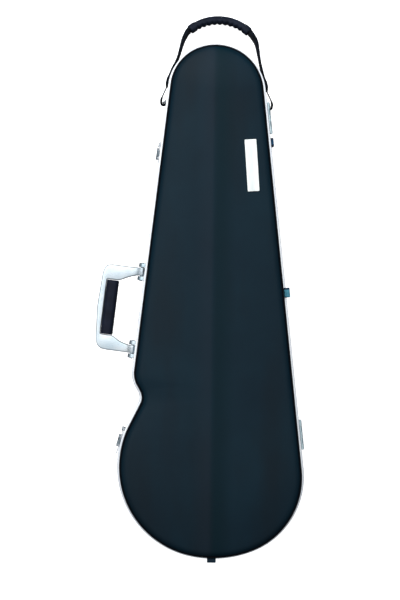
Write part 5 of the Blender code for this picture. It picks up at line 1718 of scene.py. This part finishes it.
@dataclass
class Linings:
    """Plush over foam in both halves, piped along its edges, and the neck compartment's lid with its tab."""

    dresser: Dresser
    piping_radius: float = 1.3 * MM
    piping_inset: float = 1.5 * MM
    voxel: float = 4.0 * MM
    tuck_in: float = 2.4 * MM
    most_swell: float = 3.0 * MM
    frames: int = 20
    pressure: float = 4.0

    def swell(self, piece: bpy.types.Object) -> None:
        """Lets a foam body swell under its cover by a short cloth simulation.

        Args:
            piece: a closed body, a little smaller than it ends up.
        """
        rest = [vert.co.copy() for vert in piece.data.vertices]
        Workshop.hold(piece)
        bpy.ops.object.modifier_add(type="CLOTH")
        cloth = piece.modifiers[-1]
        cloth.settings.quality = 4
        cloth.settings.use_pressure = True
        cloth.settings.uniform_pressure_force = self.pressure
        cloth.settings.effector_weights.gravity = 0.0
        cloth.collision_settings.use_collision = False
        scene = bpy.context.scene
        for frame in range(1, self.frames + 1):
            scene.frame_set(frame)
        bpy.ops.object.modifier_apply(modifier=cloth.name)
        scene.frame_set(1)
        for vert, start in zip(piece.data.vertices, rest):
            moved = vert.co - start
            if moved.length > self.most_swell:
                vert.co = start + moved.normalized() * self.most_swell

    def cushion(self, node: str, name: str, body: Body) -> None:
        """Makes the padded piece that stands for a foam solid.

        Args:
            node: the foam's CAD node.
            name: the piece's name.
            body: what it rides on.
        """
        piece = Workshop.copy_of(self.dresser.node(node), name)
        Workshop.modify(piece, "REMESH", mode="VOXEL", voxel_size=self.voxel)
        with Workshop.editing(piece):
            bpy.ops.mesh.select_all(action="SELECT")
            bpy.ops.transform.shrink_fatten(value=-self.tuck_in)
        self.swell(piece)
        Workshop.modify(piece, "SMOOTH", factor=0.5, iterations=4)
        Workshop.smooth(piece, 180.0)
        self.dresser.hand_over(piece, body, Slot.PLUSH, node)

    def pipe(self, node: str, name: str, body: Body, up: int, look: bpy.types.Material) -> None:
        """Lays a covered cord along every edge of a foam body's flat face, half sunk into it.

        Args:
            node: the foam's CAD node.
            name: the piping's name.
            body: what it rides on.
            up: 1 if the flat face looks up, -1 if it looks down.
            look: the cord's cover.
        """
        piece = Workshop.copy_of(self.dresser.node(node), name)
        level = max(up * vert.co.z for vert in piece.data.vertices)
        with Workshop.editing(piece) as mesh:
            for face in mesh.faces:
                flat = face.normal.z * up > 0.99
                face.select_set(flat and up * face.calc_center_median().z > level - 0.5 * MM)
            bpy.ops.mesh.inset(thickness=self.piping_inset, use_boundary=True)
            bpy.ops.mesh.region_to_loop()
            bpy.ops.mesh.duplicate()
            bpy.ops.transform.translate(value=(0, 0, -up * self.piping_inset))
            bpy.ops.mesh.select_all(action="INVERT")
            bpy.ops.mesh.delete(type="VERT")
        Workshop.hold(piece)
        bpy.ops.object.convert(target="CURVE")
        piece.data.bevel_depth = self.piping_radius
        piece.data.bevel_resolution = 3
        bpy.ops.object.convert(target="MESH")
        piece.name = name
        Workshop.smooth(piece, 60.0)
        self.dresser.hand_over(piece, body, Slot.PLUSH, look=look)

    def build(self) -> None:
        """Builds the linings."""
        cord = PlushPile("woven_piping_cover", "0c0d10", "2a2d33", 900.0, 0.25 * MM).build()
        self.pipe("base_foam", "base_lining_piping", Body.BASE, 1, cord)
        self.pipe("lid_pad", "lid_lining_piping", Body.LID, -1, cord)
        # the pads come last, because a node is hidden as soon as a piece stands for it
        self.cushion("base_foam", "plush_base_lining", Body.BASE)
        self.cushion("lid_pad", "plush_lid_lining", Body.LID)
        board = Workshop.copy_of(self.dresser.node("neck_compartment_lid"), "plush_neck_lid")
        Workshop.round_edges(board, 1.3 * MM, 3)
        self.dresser.hand_over(board, Body.NECK_LID, Slot.PLUSH, "neck_compartment_lid")
        tab = Workshop.copy_of(self.dresser.node("neck_compartment_tab"), "woven_pull_tab")
        Workshop.round_edges(tab, 0.35 * MM)
        self.dresser.hand_over(tab, Body.NECK_LID, Slot.WEBBING, "neck_compartment_tab")


@dataclass
class Studio:
    """Pale floor, soft light from the narrow end and the camera at the photograph's angle."""

    outline: CaseOutline
    floor_size: float = 9.0
    photo_height_px: float = 600.0
    metres_per_pixel: float = 1.345 * MM
    camera_distance: float = 4.5
    photo_plane: float = 146.0 * MM
    # middle of the photograph, measured from the case's own origin
    photo_middle: tuple[float, float] = (-13.990 * MM, 1.281 * MM)
    sensor: float = 36.0
    ceiling_height: float = 2.8
    ceiling_size: float = 5.0

    def build(self) -> None:
        """Builds the floor, the ceiling, the world, the lights and the camera."""
        self.build_floor()
        self.build_ceiling()
        self.build_world()
        self.softbox("narrow_end_softbox", (-0.45, 1.35, 1.25), 35.0, 1.5, 1.2)
        self.softbox("left_fill", (-1.9, -0.1, 1.5), 9.0, 0.9, 1.8)
        self.softbox("right_fill", (1.9, 0.5, 1.5), 10.0, 0.9, 1.8)
        self.build_camera()

    def seen_by_camera(self, bench: Bench, seen: bpy.types.NodeSocket, otherwise: bpy.types.NodeSocket) -> None:
        """Gives the camera one look of the backdrop and all other rays another, as with a lit light table.

        Args:
            bench: the backdrop's material.
            seen: what the camera gets.
            otherwise: what lights and reflections get.
        """
        path = bench.add("ShaderNodeLightPath")
        mix = bench.add("ShaderNodeMixShader", Fac=path.outputs["Is Camera Ray"])
        bench.tree.links.new(otherwise, mix.inputs[1])
        bench.tree.links.new(seen, mix.inputs[2])
        bench.tree.links.new(mix.outputs["Shader"], bench.tree.nodes["Material Output"].inputs["Surface"])

    def build_floor(self) -> None:
        """Lays the paper floor: lit evenly for the camera, plain grey-white paper for everything else."""
        Workshop.let_go()
        bpy.ops.mesh.primitive_plane_add(size=self.floor_size, location=(0, 0, -0.2 * MM))
        floor = bpy.context.active_object
        floor.name = "studio_floor"
        bench = Bench("studio_paper", 0.9)
        bench.colour(bench.ramp(bench.noise(3.0, 2.0), "cfd1d3", "d6d8da"))
        bench.even(Emission_Strength=0.9, Specular_IOR_Level=0.0)
        bench.shader.inputs["Emission Color"].default_value = linear("ffffff")
        paper = bench.add("ShaderNodeBsdfDiffuse", Color=linear("4a4d51"))
        self.seen_by_camera(bench, bench.shader.outputs["BSDF"], paper.outputs["BSDF"])
        floor.data.materials.append(bench.material)

    def build_ceiling(self) -> None:
        """Hangs a wide diffuser overhead, brighter towards the narrow end and the handle, hidden from the camera."""
        Workshop.let_go()
        bpy.ops.mesh.primitive_plane_add(size=self.ceiling_size, location=(0, 0, self.ceiling_height))
        ceiling = bpy.context.active_object
        ceiling.name = "studio_diffuser"
        ceiling.visible_camera = False
        bench = Bench("studio_diffuser", 1.0)
        axes = bench.add("ShaderNodeSeparateXYZ", Vector=bench.place)
        level = bench.add("ShaderNodeMapRange", Value=axes.outputs["Y"])
        for name, value in (("From Min", -0.75), ("From Max", 0.85), ("To Min", 0.54), ("To Max", 1.66)):
            level.inputs[name].default_value = value
        across = bench.add("ShaderNodeMapRange", Value=axes.outputs["X"])
        for name, value in (("From Min", -0.95), ("From Max", 0.95), ("To Min", 1.18), ("To Max", 0.82)):
            across.inputs[name].default_value = value
        power = bench.math("MULTIPLY", level.outputs["Result"], across.outputs["Result"])
        glow = bench.add("ShaderNodeEmission", Strength=power, Color=linear("f6fbff"))
        bench.tree.links.new(glow.outputs["Emission"], bench.tree.nodes["Material Output"].inputs["Surface"])
        ceiling.data.materials.append(bench.material)

    def build_world(self) -> None:
        """Makes the room: white for the camera, dim round the horizon for everything else."""
        world = bpy.data.worlds.new("studio")
        world.use_nodes = True
        tree = world.node_tree
        shade = tree.nodes["Background"]
        place = tree.nodes.new("ShaderNodeTexCoord")
        split = tree.nodes.new("ShaderNodeSeparateXYZ")
        ramp = tree.nodes.new("ShaderNodeValToRGB")
        tree.links.new(place.outputs["Generated"], split.inputs["Vector"])
        tree.links.new(split.outputs["Z"], ramp.inputs["Fac"])
        tree.links.new(ramp.outputs["Color"], shade.inputs["Color"])
        stops = ramp.color_ramp.elements
        stops[0].position, stops[0].color = 0.1, linear("22262a")
        stops[1].position, stops[1].color = 0.6, linear("98a0a8")
        white = tree.nodes.new("ShaderNodeBackground")
        white.inputs["Color"].default_value = linear("ffffff")
        path = tree.nodes.new("ShaderNodeLightPath")
        mix = tree.nodes.new("ShaderNodeMixShader")
        tree.links.new(path.outputs["Is Camera Ray"], mix.inputs["Fac"])
        tree.links.new(shade.outputs["Background"], mix.inputs[1])
        tree.links.new(white.outputs["Background"], mix.inputs[2])
        tree.links.new(mix.outputs["Shader"], tree.nodes["World Output"].inputs["Surface"])
        bpy.context.scene.world = world

    def build_camera(self) -> None:
        """Hangs the camera straight above, as in the photograph."""
        data = bpy.data.cameras.new("photo_camera")
        data.sensor_width = self.sensor
        data.lens = self.sensor * self.camera_distance / (self.photo_height_px * self.metres_per_pixel)
        data.clip_start = 0.1
        data.clip_end = 100
        camera = bpy.data.objects.new("photo_camera", data)
        middle = Vector(self.photo_middle) + self.outline.shift.xy
        camera.location = (middle.x, middle.y, self.photo_plane + self.camera_distance)
        bpy.context.scene.collection.objects.link(camera)
        bpy.context.scene.camera = camera
        bpy.context.scene.view_settings.view_transform = "Standard"

    def softbox(self, name: str, place: tuple[float, float, float], watts: float, width: float, length: float) -> None:
        """Hangs one rectangular soft light that faces the case.

        Args:
            name: the light's name.
            place: where it hangs.
            watts: its power.
            width: its size across.
            length: its size along.
        """
        data = bpy.data.lights.new(name, "AREA")
        data.shape = "RECTANGLE"
        data.energy = watts
        data.size = width
        data.size_y = length
        lamp = bpy.data.objects.new(name, data)
        lamp.location = place
        lamp.rotation_euler = (-Vector(place)).to_track_quat("-Z", "Y").to_euler()
        # a matte fill: bare metal mirrors the diffuser and the dim room, not the lamps
        lamp.visible_glossy = False
        bpy.context.scene.collection.objects.link(lamp)


def main() -> None:
    """Builds the scene in order."""
    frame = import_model()
    for old in [o for o in bpy.data.objects if o.name in ("Cube", "Light", "Camera")]:
        bpy.data.objects.remove(old, do_unlink=True)
    low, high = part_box("back_foot_narrow_left")
    shift = (low + high) / 2 - Vector((-26.0 * MM, 236.0 * MM, 0.0))
    outline = CaseOutline(Vector((shift.x, shift.y, 0.0)))
    finishes = Finishes(outline)
    finishes.build()
    dresser = Dresser(finishes, frame)
    dresser.dress_nodes()
    LidShell(outline, dresser).build()
    BaseShell(outline, dresser).build()
    Rims(outline, dresser).build()
    SideHandle(outline, dresser).build()
    plated = CastAluminium("dull_plated_lever", "b4c0c9", "d0dae0", 0.26, 0.4).build()
    tempered = CastAluminium("tempered_claw_strip", "7c878f", "9ca7ae", 0.28, 0.4).build()
    DrawLatch(outline, dresser, plated, tempered, "latch_upper", 200.8 * MM, 30.0 * MM).build()
    DrawLatch(outline, dresser, plated, tempered, "latch_lower", -190.4 * MM, 38.0 * MM).build()
    pressed = CastAluminium("zinc_plated_hinge", "c9e2e8", "e9f8fb", 0.26, 0.4).build()
    ButtHinge(outline, dresser, pressed, "hinge_upper", 247.9 * MM, 42.0 * MM).build()
    ButtHinge(outline, dresser, pressed, "hinge_lower", -182.2 * MM, 39.5 * MM).build()
    CarryStrap(outline, dresser).build()
    RubberFeet(dresser).build()
    Linings(dresser).build()
    Studio(outline).build()


if __name__ == "__main__":
    main()
